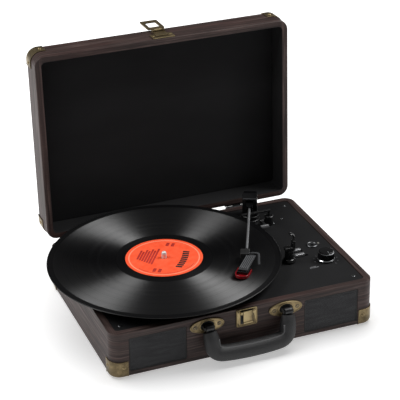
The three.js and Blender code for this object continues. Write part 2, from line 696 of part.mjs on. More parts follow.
// ---------------------------------------------------------------- tonearm
const baseBottom = DECK_TOP + GAP;
const TURRET_BOTTOM = DECK_TOP + 8.3;
const armBase = post(ARM_X, ARM_Y, baseBottom, TURRET_BOTTOM - GAP, 13.5, 12.5, 20);
add(player, 'tonearm_base', armBase, 'black_plastic');
const TURRET_TOP = ARM_Z + 10;
const TURRET_HALF = 10;
const WINDOW_HALF = 5;
let turret = box(-TURRET_HALF, TURRET_HALF, -8.5, 9.5, TURRET_BOTTOM, TURRET_TOP);
turret = turret.subtract(box(-WINDOW_HALF, WINDOW_HALF, -10, 11, ARM_Z - 7, ARM_Z + 7));
turret = turret.add(rodX(-WINDOW_HALF - 1, WINDOW_HALF + 1, 0, ARM_Z, 1.5, 16));
add(arm, 'tonearm_turret', turret, 'black_plastic');
let armBlock = box(-WINDOW_HALF + 0.4, WINDOW_HALF - 0.4, -20, 6, ARM_Z - 4, ARM_Z + 4);
armBlock = armBlock.subtract(rodX(-8, 8, 0, ARM_Z, 1.8, 16));
armBlock = armBlock.subtract(rodY(0, -21, -12, ARM_Z, TUBE_R + GAP, TUBE_R + GAP, 16));
armBlock = armBlock.add(box(-3, 3, 5, 12, ARM_Z - 3, ARM_Z + 3)); // neck of the counterweight
armBlock = armBlock.add(box(-9, 9, 11, 23, ARM_Z - 7, ARM_Z + 6));
add(arm, 'tonearm_block', armBlock, 'black_plastic');
add(arm, 'tonearm_tube', rodY(0, -TUBE_END - 6, -13, ARM_Z, TUBE_R, TUBE_R, 16), 'grey_plastic');
// block that holds the tube, then the slanting headshell
const BLOCK_X = -2.2; // the block stands a little to the left of the tube
const BLOCK_HALF = 6;
const BLOCK_RIGHT = BLOCK_X + BLOCK_HALF;
let headshell = box(BLOCK_X - BLOCK_HALF, BLOCK_RIGHT, -SHELL_START + 1, -TUBE_END, ARM_Z - 4.2, ARM_Z + 3.6);
const blockBore = TUBE_R + GAP;
headshell = headshell.subtract(rodY(0, -TUBE_END - 7, -TUBE_END + 2, ARM_Z, blockBore, blockBore, 16));
const SHELL_X = 5; // middle of the shell, beside the line of the block
const SHELL_W = 12;
const SHELL_LEN = 37;
const shellLeft = SHELL_X - SHELL_W / 2;
const offsetPlate = box(shellLeft, shellLeft + SHELL_W, -SHELL_LEN, 6, ARM_Z - 1.8, ARM_Z + 1.6);
const offsetMatrix = new THREE.Matrix4().makeRotationZ(SHELL_TURN);
offsetMatrix.setPosition(0, -SHELL_START, 0);
headshell = headshell.add(offsetPlate.transform(offsetMatrix.elements));
add(arm, 'headshell', headshell, 'grey_plastic');
const cartridgeTop = ARM_Z - 1.8 - GAP;
const CARTRIDGE_FRONT = -SHELL_LEN - 1.5;
const CARTRIDGE_HALF = 7;
add(
  shell,
  'cartridge',
  box(
    SHELL_X - CARTRIDGE_HALF,
    SHELL_X + CARTRIDGE_HALF,
    CARTRIDGE_FRONT,
    CARTRIDGE_FRONT + 18,
    RECORD_TOP + 2.6,
    cartridgeTop,
  ),
  'black_plastic',
);
// the stylus carrier is a tray under the cartridge, round at its front, with a low wall
const TRAY_HALF = 9.2;
const TRAY_WALL = 1.5;
const TRAY_NOSE = CARTRIDGE_FRONT + 2; // middle of the round front
const TRAY_BACK = CARTRIDGE_FRONT + 14;
const TRAY_FLOOR = RECORD_TOP + 2.3;
function traySolid(half, low, high) {
  const nose = post(SHELL_X, TRAY_NOSE, low, high, half, half, 24);
  return nose.add(box(SHELL_X - half, SHELL_X + half, TRAY_NOSE, TRAY_BACK, low, high));
}
let stylus = traySolid(TRAY_HALF, RECORD_TOP + 1.1, RECORD_TOP + 5.2);
stylus = stylus.subtract(traySolid(TRAY_HALF - TRAY_WALL, TRAY_FLOOR, RECORD_TOP + 6));
stylus = stylus.add(post(SHELL_X, CARTRIDGE_FRONT + 1.5, RECORD_TOP + GAP, RECORD_TOP + 1.3, 0.3, 0.9, 10));
add(shell, 'stylus', stylus, 'red_plastic');
const FINGER_X = 16.5; // outside edge, from the arm's line
const FINGER_BACK = -141.5;
let finger = box(BLOCK_RIGHT + GAP, FINGER_X, FINGER_BACK - 2.8, FINGER_BACK, ARM_Z - 1, ARM_Z + 0.4);
finger = finger.add(box(FINGER_X - 2.8, FINGER_X, FINGER_BACK - 32, FINGER_BACK, ARM_Z - 1, ARM_Z + 0.4));
add(arm, 'finger_lift', finger, 'black_plastic');

// ---------------------------------------------------------------- arm rest
const REST_LEAN = THREE.MathUtils.degToRad(0.4); // the parked arm, from straight ahead
const parkedX = ARM_X - REST_REACH * Math.sin(REST_LEAN);
const REST_Y = ARM_Y - REST_REACH;
const SHELF = ARM_Z - TUBE_R - 0.5;
let rest = post(parkedX, REST_Y, baseBottom, baseBottom + 4, 8.5, 8, 16);
rest = rest.add(post(parkedX, REST_Y, baseBottom + 3, SHELF - 4, 5.6, 4.6, 14));
rest = rest.add(box(parkedX - 7, parkedX + 7, REST_Y - 4, REST_Y + 4, SHELF - 5, SHELF));
rest = rest.add(box(parkedX + 4, parkedX + 7, REST_Y - 4, REST_Y + 4, SHELF - 1, ARM_Z + 2));
const CLIP_X = parkedX + 5.5;
const CLIP_Z = ARM_Z + 4.6;
for (const s of [-1, 1]) {
  const y = REST_Y + s * 3;
  rest = rest.add(box(CLIP_X - 1.5, CLIP_X + 1.5, y - 1, y + 1, ARM_Z + 1, CLIP_Z + 1.4));
}
rest = rest.add(rodY(CLIP_X, REST_Y - 4, REST_Y + 4, CLIP_Z, 0.7, 0.7, 12));
add(player, 'arm_rest_post', rest, 'black_plastic');
let clip = rodY(CLIP_X, REST_Y - 1.7, REST_Y + 1.7, CLIP_Z, 1.5, 1.5, 16);
clip = clip.add(box(CLIP_X - 0.9, CLIP_X + 0.9, REST_Y - 1.7, REST_Y + 1.7, CLIP_Z, CLIP_Z + 12));
clip = clip.subtract(rodY(CLIP_X, REST_Y - 5, REST_Y + 5, CLIP_Z, 0.95, 0.95, 12));
add(player, 'arm_rest_clip', clip, 'black_plastic');

// ---------------------------------------------------------------- cueing lift
const CUE_X = 116;
const CUE_Y = 66;
const LEVER_Z = DECK_TOP + 6.4;
const BAR_TOP = ARM_Z - TUBE_R - 0.6;
let housing = post(CUE_X, CUE_Y, baseBottom, DECK_TOP + 13, 6.5, 6, 16);
housing = housing.subtract(post(CUE_X, CUE_Y, DECK_TOP + 4, DECK_TOP + 14, 2.1, 2.1, 16));
const leverX1 = CUE_X - 7.5;
housing = housing.add(rodX(leverX1 - 7, CUE_X - 4, CUE_Y, LEVER_Z, 1.1, 12));
add(player, 'cue_housing', housing, 'black_plastic');
let lever = rodX(leverX1 - 6, leverX1 - 1, CUE_Y, LEVER_Z, 2.6, 16);
lever = lever.add(box(leverX1 - 5, leverX1 - 2, CUE_Y - 15, CUE_Y, LEVER_Z - 1, LEVER_Z + 1));
lever = lever.add(box(leverX1 - 11, leverX1, CUE_Y - 18, CUE_Y - 14, LEVER_Z - 1.3, LEVER_Z + 1.3));
lever = lever.subtract(rodX(leverX1 - 9, leverX1 + 2, CUE_Y, LEVER_Z, 1.4, 12));
add(player, 'cue_lever', lever, 'grey_plastic');
let bar = post(CUE_X, CUE_Y, DECK_TOP + 5, BAR_TOP - 2, 1.8, 1.8, 16);
bar = bar.add(box(ARM_X - 22, CUE_X + 2, CUE_Y - 2, CUE_Y + 2, BAR_TOP - 2.4, BAR_TOP));
add(player, 'cue_lift_bar', bar, 'black_plastic');

// ---------------------------------------------------------------- deck controls
const KNOB_TOP = DECK_TOP + 14.2;
const knobProfile = [
  [0, DECK_TOP - DECK_T - 3],
  [2.8, DECK_TOP - DECK_T - 3],
  [2.8, DECK_TOP + 0.6],
  [KNOB_R + 0.6, DECK_TOP + 0.6],
  [KNOB_R + 0.6, DECK_TOP + 2.4],
  [KNOB_R, DECK_TOP + 3],
  [KNOB_R - 0.5, KNOB_TOP - 1],
  [KNOB_R - 1.3, KNOB_TOP],
  [0, KNOB_TOP],
];
let knob = toManifold(turned(knobProfile, 20, KNOB_X, KNOB_Y));
const notch0 = KNOB_Y - KNOB_R + 0.8;
knob = knob.subtract(box(KNOB_X - 0.5, KNOB_X + 0.5, notch0, KNOB_Y - 3, KNOB_TOP - 0.6, KNOB_TOP + 1));
add(player, 'volume_knob', knob, 'black_plastic');
const jackProfile = [
  [2, DECK_TOP - DECK_T - 8],
  [3.7, DECK_TOP - DECK_T - 8],
  [3.7, DECK_TOP + GAP],
  [JACK_R, DECK_TOP + GAP],
  [JACK_R, DECK_TOP + 1.3],
  [JACK_R - 1, DECK_TOP + 2.2],
  [2, DECK_TOP + 2.2],
  [2, DECK_TOP - DECK_T - 8],
];
add(player, 'headphone_jack', turned(jackProfile, 16, JACK_X, JACK_Y), 'steel');
function slideSwitch(x, y, w) {
  const stem = box(x - 2, x + 2, y - 1.3, y + 1.3, DECK_TOP - DECK_T - 1.5, DECK_TOP + 1);
  return stem.add(box(x - w / 2, x + w / 2, y - 2, y + 2, DECK_TOP + 0.4, DECK_TOP + 3.6));
}
add(player, 'speed_switch', slideSwitch(SPEED_X, SPEED_Y, 13), 'grey_plastic');
add(player, 'autostop_switch', slideSwitch(AUTOSTOP_X, AUTOSTOP_Y, 8), 'grey_plastic');

export default player;
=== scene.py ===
import json
import math

import bmesh
import bpy
from mathutils import Matrix, Vector

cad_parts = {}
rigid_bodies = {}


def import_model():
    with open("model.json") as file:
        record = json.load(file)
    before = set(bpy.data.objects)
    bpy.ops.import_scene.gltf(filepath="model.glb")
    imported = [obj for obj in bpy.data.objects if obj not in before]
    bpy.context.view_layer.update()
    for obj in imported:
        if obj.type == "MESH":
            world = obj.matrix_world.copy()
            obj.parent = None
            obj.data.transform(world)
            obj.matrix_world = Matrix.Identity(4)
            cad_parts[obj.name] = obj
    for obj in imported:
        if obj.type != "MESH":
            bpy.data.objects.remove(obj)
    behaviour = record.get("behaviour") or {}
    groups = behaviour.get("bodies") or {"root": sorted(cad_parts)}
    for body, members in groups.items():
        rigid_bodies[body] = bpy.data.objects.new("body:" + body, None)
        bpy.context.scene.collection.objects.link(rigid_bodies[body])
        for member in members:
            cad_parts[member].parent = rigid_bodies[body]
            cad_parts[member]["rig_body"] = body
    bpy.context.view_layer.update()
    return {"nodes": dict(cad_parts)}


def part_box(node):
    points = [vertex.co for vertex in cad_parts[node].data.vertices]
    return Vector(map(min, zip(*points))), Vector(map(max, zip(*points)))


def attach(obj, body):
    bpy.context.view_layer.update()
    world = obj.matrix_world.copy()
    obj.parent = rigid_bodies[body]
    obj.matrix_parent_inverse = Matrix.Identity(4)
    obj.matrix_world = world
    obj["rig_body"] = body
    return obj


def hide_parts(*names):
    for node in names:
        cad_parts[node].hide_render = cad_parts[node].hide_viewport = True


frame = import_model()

# Shapes are drawn in millimetres about the middle of the case, as the CAD source draws them:
# +X to the right, +Y towards the hinges, z from the surface that the player stands on.
MM = 0.001
TAU = 2 * math.pi
CASE_LO, CASE_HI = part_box("base_shell")
MIDDLE = (CASE_LO + CASE_HI) / 2


def rad(degrees):
    return math.radians(degrees)


def case_point(co):
    """A point of the shared frame, in millimetres from the middle of the case."""
    return Vector(((co.x - MIDDLE.x) / MM, (co.y - MIDDLE.y) / MM, co.z / MM))


def centre(node):
    lo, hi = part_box(node)
    return case_point((lo + hi) / 2)


def edges_of(node):
    """Lowest and highest corner of a CAD node, in millimetres from the middle of the case."""
    lo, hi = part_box(node)
    shift = Vector((MIDDLE.x, MIDDLE.y, 0))
    return (lo - shift) / MM, (hi - shift) / MM


# ---------------------------------------------------------------- sizes
BASE_LO, BASE_HI = edges_of("base_shell")
HALF_W = BASE_HI.x
HALF_D = BASE_HI.y
FRONT = -HALF_D
BACK = HALF_D
BASE_TOP = BASE_HI.z
BASE_BOTTOM = BASE_LO.z
DECK_TOP = edges_of("deck_plate")[1].z
CORNER_R = 14  # of the case's upright corners
GAP = 0.3  # clearance between neighbours
WELD = 2e-6  # points closer than this, in metres, become one
SPIN = centre("record_disc")
SPINDLE = Vector((MIDDLE.x + SPIN.x * MM, MIDDLE.y + SPIN.y * MM, 0))  # in metres
RECORD_TOP = edges_of("record_label")[1].z
RECORD_LOW = edges_of("record_disc")[0].z
RECORD_R = 151
LABEL_R = 50
PLATTER_R = 98
LID_BOTTOM = BASE_TOP + GAP
LID_TOP = 104
LID_WALL = 8.5
LID_OPEN = 91.7  # degrees from shut, at rest
HINGE_Y = BACK + 3
HINGE_Z = BASE_TOP - 2.2
HINGE_X = 96
ARM_X = 98
ARM_Y = 90
ARM_Z = RECORD_TOP + 8.8
ARM_TURN = -24.7  # degrees, on its rest
SHELL_TURN = -14  # degrees from the tube's line
SHELL_START = 153  # headshell and tube end, from the turret's axis
TUBE_END = 138
TUBE_R = 1.5
SHELL_X = 5  # the shell's middle lies beside the tube's line
GRILLE_W = 74
GRILLE_H = 46
HANDLE_X = 52.5
HANDLE_Y = FRONT - 8
HANDLE_Z = centre("handle_plate_left").z
HANDLE_TILT = 13  # degrees forward of straight down
GRIP_R = 9.6
GRIP_START = 4.6  # the cover begins this far below the pivots
LEG_STEPS = 8
CAP_REACH = 21  # brass corners, from the case's corner
CAP_T = 0.9
EDGE_R = 3.4  # rounding of the case's outside edges
KNOB = centre("volume_knob")
JACK = centre("headphone_jack")
CUE_X, CUE_Y = 116.0, 66.0
REAR_X = 70  # middle of the rear sockets' panel
DECK_SCREW_X, DECK_SCREW_Y = HALF_W - 19, HALF_D - 21
TRACK_GAPS = (131, 117, 99, 83)  # radii of the record's plain rings
SIDES = {"left": -1, "right": 1}
ALONG_X = Vector((1, 0, 0))
ALONG_Y = Vector((0, 1, 0))


def translation(x, y, z):
    return Matrix.Translation(Vector((x, y, z)))


LID = translation(0, HINGE_Y, HINGE_Z) @ Matrix.Rotation(rad(-LID_OPEN), 4, "X")
LID = LID @ translation(0, -HINGE_Y, -HINGE_Z)
ARM = translation(ARM_X, ARM_Y, 0) @ Matrix.Rotation(rad(ARM_TURN), 4, "Z")
SHELL = ARM @ translation(0, -SHELL_START, 0) @ Matrix.Rotation(rad(SHELL_TURN), 4, "Z")
STRAIGHT = Matrix.Identity(4)


# ---------------------------------------------------------------- shader helper
class Finish:
    """A procedural material: a Principled shader and short calls that add nodes."""

    def __init__(self, name, **sockets):
        self.mat = bpy.data.materials.new(name)
        self.mat.use_nodes = True
        self.tree = self.mat.node_tree
        self.bsdf = self.tree.nodes["Principled BSDF"]
        for key, value in sockets.items():
            self.bsdf.inputs[key.replace("_", " ")].default_value = value

    def node(self, kind, options=None, **inputs):
        made = self.tree.nodes.new(kind)
        for key, value in (options or {}).items():
            setattr(made, key, value)
        for key, value in inputs.items():
            name = int(key[1:]) if key[0] == "i" and key[1:].isdigit() else key.replace("_", " ")
            socket = made.inputs[name]
            if isinstance(value, bpy.types.NodeSocket):
                self.tree.links.new(value, socket)
            else:
                socket.default_value = value
        return made

    def set(self, socket, value):
        self.tree.links.new(value, self.bsdf.inputs[socket])

    def done(self, colour, rough, normal=None):
        self.set("Base Color", colour)
        self.set("Roughness", rough)
        if normal is not None:
            self.set("Normal", normal)
        return self.mat

    def place(self, stretch=(1, 1, 1)):
        """Object coordinates in metres, stretched."""
        coords = self.node("ShaderNodeTexCoord").outputs["Object"]
        return self.node("ShaderNodeMapping", Vector=coords, Scale=stretch).outputs["Vector"]

    def noise(self, scale, stretch=(1, 1, 1), detail=4.0, roughness=0.55, distortion=0.0):
        look = {"Scale": scale, "Detail": detail, "Roughness": roughness, "Distortion": distortion}
        return self.node("ShaderNodeTexNoise", Vector=self.place(stretch), **look).outputs["Fac"]

    def ramp(self, fac, *stops):
        made = self.node("ShaderNodeValToRGB", Fac=fac)
        marks = made.color_ramp.elements
        while len(marks) < len(stops):
            marks.new(0.5)
        for mark, (position, colour) in zip(marks, stops):
            mark.position = position
            grey = (colour,) * 3 if isinstance(colour, (int, float)) else colour
            mark.color = (*grey, 1)
        return made.outputs["Color"]

    def math(self, operation, a, b=0.0):
        return self.node("ShaderNodeMath", {"operation": operation}, i0=a, i1=b).outputs[0]

    def remap(self, value, low, high, to_low, to_high):
        limits = {"From_Min": low, "From_Max": high, "To_Min": to_low, "To_Max": to_high}
        return self.node("ShaderNodeMapRange", Value=value, **limits).outputs["Result"]

    def spread(self, noise, to_low, to_high):
        """Carries the usual span of a noise onto another one."""
        return self.remap(noise, 0.3, 0.7, to_low, to_high)

    def mix(self, fac, a, b):
        a, b = (c if isinstance(c, bpy.types.NodeSocket) else (*c, 1) for c in (a, b))
        return self.node("ShaderNodeMix", {"data_type": "RGBA"}, i0=fac, i6=a, i7=b).outputs[2]

    def fade(self, fac, low, high, most, a, b):
        """Colour a, with a share of b that grows from none at low to most at high."""
        return self.mix(self.ramp(fac, (low, 0.0), (high, most)), a, b)

    def blend(self, fac, a, b):
        return self.node("ShaderNodeMix", {"data_type": "FLOAT"}, Factor=fac, i2=a, i3=b).outputs[0]

    def bump(self, height, strength, distance, under=None):
        inputs = {"Height": height, "Strength": strength, "Distance": distance}
        if under is not None:
            inputs["Normal"] = under
        return self.node("ShaderNodeBump", **inputs).outputs["Normal"]

    def edge_wear(self):
        """1 on convex edges, 0.5 on flats, from the mesh itself."""
        return self.node("ShaderNodeNewGeometry").outputs["Pointiness"]


def srgb(r, g, b):
    """A colour given as 0-255 display numbers, in linear light."""
    return tuple(((c / 255 + 0.055) / 1.055) ** 2.4 if c > 10 else c / 3294.6 for c in (r, g, b))


# ---------------------------------------------------------------- finishes
def facing(f, axis):
    """How far a face looks along an object axis, 0 to 1, either way."""
    normal = f.node("ShaderNodeTexCoord").outputs["Normal"]
    parts = f.node("ShaderNodeSeparateXYZ", Vector=normal)
    return f.math("ABSOLUTE", parts.outputs[axis])


def make_wrap(name, side_stretch, face_stretch, face_axis):
    """Printed wood-grain wrap: fine streaks along each board, soft blotches, worn paler edges."""
    f = Finish(name, Specular_IOR_Level=0.25)
    grain = {"detail": 6.0, "roughness": 0.62, "distortion": 0.25}
    end_stretch = (420, 14, 14)
    along, across, at_ends = (f.noise(1.0, s, **grain) for s in (side_stretch, face_stretch, end_stretch))
    pick = f.remap(facing(f, face_axis), 0.6, 0.8, 0.0, 1.0)
    coords = f.node("ShaderNodeTexCoord").outputs["Object"]
    x = f.node("ShaderNodeSeparateXYZ", Vector=coords).outputs["X"]
    from_middle = f.math("ABSOLUTE", f.math("SUBTRACT", x, MIDDLE.x))
    end_board = f.math("GREATER_THAN", from_middle, (HALF_W - LID_WALL - 1) * MM)
    across = f.blend(end_board, across, at_ends)
    streak = f.blend(pick, along, across)
    finer = ([c * 3.1 for c in s] for s in (side_stretch, face_stretch))
    fine = f.blend(pick, *(f.noise(1.0, s, detail=3.0, roughness=0.7) for s in finer))
    stops = ((0.28, (26, 19, 18)), (0.43, (47, 36, 34)), (0.54, (66, 52, 49)), (0.7, (98, 81, 77)))
    colour = f.ramp(streak, *((at, srgb(*shade)) for at, shade in stops))
    ruddy = f.noise(1.0, [s * 0.45 for s in side_stretch], detail=2.0)
    colour = f.fade(ruddy, 0.5, 0.68, 0.5, colour, srgb(66, 40, 36))
    colour = f.mix(f.ramp(fine, (0.3, 0.35), (0.62, 0.0)), colour, srgb(22, 16, 15))
    blotch = f.noise(11.0, detail=3.0)
    colour = f.fade(blotch, 0.45, 0.8, 0.22, colour, srgb(66, 57, 54))
    colour = f.fade(f.edge_wear(), 0.53, 0.6, 0.25, colour, srgb(84, 72, 66))
    normal = f.bump(f.noise(900.0, detail=2.0), 0.12, 0.0002, f.bump(streak, 0.18, 0.0004))
    return f.done(colour, f.remap(streak, 0.2, 0.8, 0.56, 0.44), normal)


def make_leatherette(name, dark, light, rough, pebble=520.0, strength=0.45):
    """Pressed leather grain: rounded pebbles, with painted shade darkening the creases between them."""
    f = Finish(name, Specular_IOR_Level=0.45)
    cells = f.node("ShaderNodeTexVoronoi", {"feature": "DISTANCE_TO_EDGE"}, Vector=f.place(), Scale=pebble)
    from_edge = cells.outputs["Distance"]
    crease = f.ramp(from_edge, (0.0, 0.0), (0.14, 1.0))
    blotch = f.noise(28.0, detail=5.0)
    colour = f.fade(blotch, 0.3, 0.7, 1.0, dark, light)
    # Painted shade: each pebble darkens towards its edge, in the creases.
    colour = f.mix(f.ramp(from_edge, (0.0, 0.45), (0.1, 0.0)), colour, [c * 0.4 for c in dark])
    colour = f.fade(f.edge_wear(), 0.53, 0.62, 0.4, colour, [min(1, c * 2.1) for c in light])
    pebbles = f.bump(crease, strength, 0.00025)
    normal = f.bump(f.noise(1500.0, detail=3.0), 0.15, 0.0001, pebbles)
    return f.done(colour, f.spread(blotch, rough - 0.05, rough + 0.08), normal)


def make_deck():
    """Matt black deck foil: fine orange-peel, faint dust and rubbed patches."""
    f = Finish("deck_foil", Specular_IOR_Level=0.22)
    cloud = f.noise(9.0, detail=6.0, roughness=0.6)
    colour = f.fade(cloud, 0.35, 0.7, 1.0, srgb(17, 17, 18), srgb(24, 24, 25))
    specks = f.noise(2600.0, detail=1.0)
    colour = f.fade(specks, 0.66, 0.78, 0.35, colour, srgb(46, 46, 48))
    rough = f.spread(cloud, 0.5, 0.62)
    return f.done(colour, rough, f.bump(f.noise(1400.0, detail=2.0), 0.22, 0.0002))


def make_lining():
    """Black flocked lining: short fibres with a soft nap."""
    f = Finish("lid_flock", Sheen_Weight=0.02, Sheen_Roughness=0.6, Specular_IOR_Level=0.12)
    nap = f.noise(6.0, (1, 1, 2.5), detail=5.0)
    fibre = f.noise(2200.0, detail=4.0, roughness=0.7)
    colour = f.fade(nap, 0.3, 0.75, 1.0, srgb(26, 26, 27), srgb(35, 35, 36))
    colour = f.fade(fibre, 0.5, 0.8, 0.3, colour, srgb(48, 48, 50))
    rough = f.spread(fibre, 0.85, 0.98)
    return f.done(colour, rough, f.bump(fibre, 0.35, 0.0003))


def make_brass(name, tone):
    """Antique brass plate: dark in the hollows, rubbed bright on the edges, fine scratches."""
    f = Finish(name, Metallic=0.8)
    tarnish = f.noise(70.0, detail=6.0, roughness=0.65)
    stops = ((0.3, (56, 48, 34)), (0.5, (90, 78, 56)), (0.72, (128, 112, 82)))
    colour = f.ramp(tarnish, *((at, [c * tone for c in srgb(*shade)]) for at, shade in stops))
    spots = f.noise(420.0, detail=4.0)
    colour = f.fade(spots, 0.56, 0.7, 0.55, colour, srgb(40, 33, 22))
    colour = f.fade(f.edge_wear(), 0.52, 0.58, 0.85, colour, srgb(172, 154, 114))
    colour = f.mix(f.ramp(f.edge_wear(), (0.42, 0.75), (0.49, 0.0)), colour, srgb(30, 25, 17))
    scratch = f.noise(1.0, (900, 60, 60), detail=4.0, roughness=0.7)
    rough = f.math("ADD", f.spread(tarnish, 0.46, 0.32), f.spread(scratch, -0.04, 0.08))
    return f.done(colour, rough, f.bump(spots, 0.12, 0.0002, f.bump(scratch, 0.08, 0.0002)))


def make_steel(name, tone, rough):
    """Turned metal with faint machining and fingerprints."""
    f = Finish(name, Metallic=1.0)
    smear = f.noise(60.0, detail=5.0)
    dark, light = ([c * tone for c in shade] for shade in (srgb(176, 178, 182), srgb(226, 228, 230)))
    colour = f.fade(smear, 0.3, 0.7, 1.0, dark, light)
    turning = f.noise(1.0, (40, 40, 2600), detail=3.0)
    machined = f.spread(turning, -0.03, 0.06)
    rough = f.math("ADD", f.spread(smear, rough, rough + 0.1), machined)
    return f.done(colour, rough, f.bump(turning, 0.1, 0.0001))


def make_plastic(name, colour, rough, texture=900.0, strength=0.12, metallic=0.0):
    """Moulded plastic: fine spark texture, slight sink-mark clouds and rubbed edges."""
    f = Finish(name, Specular_IOR_Level=0.5, Metallic=metallic)
    cloud = f.noise(35.0, detail=4.0)
    base = f.fade(cloud, 0.3, 0.75, 1.0, [c * 0.85 for c in colour], [c * 1.15 for c in colour])
    base = f.fade(f.edge_wear(), 0.54, 0.64, 0.3, base, [min(1.0, c * 1.8 + 0.02) for c in colour])
    rough = f.spread(cloud, rough - 0.05, rough + 0.07)
    return f.done(base, rough, f.bump(f.noise(texture, detail=2.0), strength, 0.0002))


def ring_noise(f, scale, detail):
    """Noise that changes only with the distance from the spindle, in metres."""
    away = f.node("ShaderNodeTexCoord").outputs["Object"]
    for operation, other in (("SUBTRACT", SPINDLE), ("MULTIPLY", (1, 1, 0))):
        away = f.node("ShaderNodeVectorMath", {"operation": operation}, i0=away, i1=other).outputs[0]
    length = f.node("ShaderNodeVectorMath", {"operation": "LENGTH"}, i0=away).outputs["Value"]
    made = f.node("ShaderNodeTexNoise", {"noise_dimensions": "1D"}, W=length, Scale=scale, Detail=detail)
    return made.outputs["Fac"]


def make_vinyl(name, rough, anisotropic, grooves, shine, ior):
    """Pressed vinyl: wedges of light across the grooves, each ring of slightly different roughness."""
    f = Finish(name, Anisotropic=anisotropic, Anisotropic_Rotation=0.25, Specular_IOR_Level=shine, IOR=ior)
    tangent = f.node("ShaderNodeTangent", {"direction_type": "RADIAL", "axis": "Z"})
    f.set("Tangent", tangent.outputs["Tangent"])
    rings = ring_noise(f, 1400.0, 6.0)
    bands = ring_noise(f, 160.0, 3.0)
    colour = f.fade(rings, 0.35, 0.68, 1.0, srgb(5, 5, 6), srgb(11, 11, 12))
    dust = f.noise(1300.0, detail=2.0)
    colour = f.fade(dust, 0.68, 0.8, 0.35, colour, srgb(84, 84, 86))
    f.set("Base Color", colour)
    wobble = f.math("ADD", *(f.spread(noise, -0.05, 0.05) for noise in (rings, bands)))
    f.set("Roughness", f.math("ADD", wobble, rough))
    if grooves:
        f.set("Normal", f.bump(rings, 0.25, 0.00008))
    return f.mat


def make_label():
    """Uncoated label paper in orange red, with mottled ink and paler fibres."""
    f = Finish("label_paper", Specular_IOR_Level=0.3)
    mottle = f.noise(160.0, detail=5.0)
    colour = f.fade(mottle, 0.3, 0.7, 1.0, srgb(242, 80, 42), srgb(252, 96, 58))
    fibre = f.noise(1.0, (900, 2600, 900), detail=3.0)
    colour = f.fade(fibre, 0.55, 0.75, 0.3, colour, srgb(230, 104, 76))
    rough = f.spread(mottle, 0.55, 0.7)
    return f.done(colour, rough, f.bump(fibre, 0.15, 0.0001))


def make_cloth():
    """Speaker cloth: two crossing sets of threads, dark between them."""
    f = Finish("speaker_cloth", Sheen_Weight=0.05, Sheen_Roughness=0.5, Specular_IOR_Level=0.2)
    threads = []
    for axis in "XZ":
        across = {"bands_direction": axis}
        wave = f.node("ShaderNodeTexWave", across, Vector=f.place(), Scale=380.0, Distortion=0.6)
        threads.append(wave.outputs["Fac"])
    weave = f.math("MULTIPLY", *threads)
    uneven = f.noise(40.0, (1, 1, 6), detail=4.0)
    colour = f.ramp(weave, (0.0, srgb(31, 31, 32)), (0.4, srgb(72, 72, 74)), (1.0, srgb(116, 117, 119)))
    colour = f.mix(f.ramp(uneven, (0.3, 0.35), (0.65, 0.0)), colour, srgb(20, 20, 21))
    rough = f.remap(weave, 0.0, 1.0, 0.98, 0.8)
    return f.done(colour, rough, f.bump(weave, 0.5, 0.0003))


def make_board(name, colour, trace):
    """Printed board or fibreboard: mottled ground with lighter flecks."""
    f = Finish(name, Specular_IOR_Level=0.4)
    fleck = f.noise(300.0, (1, 3, 1), detail=4.0)
    rough = f.spread(fleck, 0.55, 0.8)
    return f.done(f.fade(fleck, 0.4, 0.7, 1.0, colour, trace), rough, f.bump(fleck, 0.3, 0.0003))


def make_glow():
    """The pilot light: clear plastic with a dim white element behind."""
    glow = {"Emission_Color": (1, 0.97, 0.9, 1), "Emission_Strength": 0.03}
    f = Finish("pilot_light", Specular_IOR_Level=0.5, **glow)
    cloud = f.noise(2000.0, detail=2.0)
    return f.done(f.mix(cloud, srgb(96, 94, 90), srgb(130, 128, 122)), f.spread(cloud, 0.15, 0.3))


WRAP_BASE = make_wrap("wood_wrap_base", (14, 14, 420), (14, 420, 14), 2)
WRAP_LID = make_wrap("wood_wrap_lid", (14, 420, 14), (14, 14, 420), 1)
LINING = make_lining()
DECK = make_deck()
BRASS = make_brass("antique_brass", 1.3)
RUBBED = make_brass("rubbed_brass", 1.75)
STEEL = make_steel("bright_steel", 0.3, 0.28)
DARK_STEEL = make_steel("grey_steel", 0.2, 0.34)
CLOTH = make_cloth()
GRIP = make_leatherette("grip_leatherette", srgb(32, 32, 33), srgb(43, 43, 44), 0.5)
# The seam's piping is coloured paler than the grip: a painted highlight along the bar's top inner edge.
PIPING_PAINTED_HIGHLIGHT = make_leatherette("grip_piping_painted_highlight", srgb(70, 70, 71), srgb(84, 84, 85), 0.5, 700.0, 0.3)
BLACK = make_plastic("black_plastic_satin", srgb(15, 15, 16), 0.36)
DULL = make_plastic("black_plastic_dull", srgb(11, 11, 12), 0.6, 700.0, 0.2)
GLOSS = make_plastic("black_plastic_gloss", srgb(9, 9, 10), 0.24, 500.0, 0.05)
GREY = make_plastic("grey_plastic", srgb(58, 59, 61), 0.4)
PALE = make_plastic("rail_grey", srgb(84, 85, 87), 0.42)
CHROME = make_steel("polished_trim", 0.9, 0.16)
BRONZE = make_steel("black_bronze", 0.045, 0.45)
SILVER = make_plastic("silver_paint", srgb(168, 169, 171), 0.3, 1400.0, 0.15, 0.7)
RED = make_plastic("red_plastic", srgb(122, 8, 18), 0.25)
WHITE = make_plastic("white_plastic", srgb(170, 168, 162), 0.4)
RUBBER = make_plastic("rubber", srgb(24, 24, 25), 0.82, 700.0, 0.35)
FELT = make_leatherette("slip_mat_felt", srgb(26, 26, 28), srgb(36, 36, 38), 0.92, 1400.0, 0.6)
GROOVED = make_vinyl("vinyl_grooved", 0.53, 1.0, True, 1.0, 1.58)
SMOOTH = make_vinyl("vinyl_smooth", 0.4, 0.6, False, 0.3, 1.5)
LABEL = make_label()
PRINT = make_plastic("label_ink", srgb(158, 30, 20), 0.6)
INK = make_plastic("label_dark_ink", srgb(30, 12, 12), 0.6)
NICKEL = make_plastic("spindle_nickel", srgb(222, 220, 216), 0.3, metallic=0.35)
PALE_PRINT = make_plastic("label_pale_ink", srgb(246, 134, 104), 0.6)
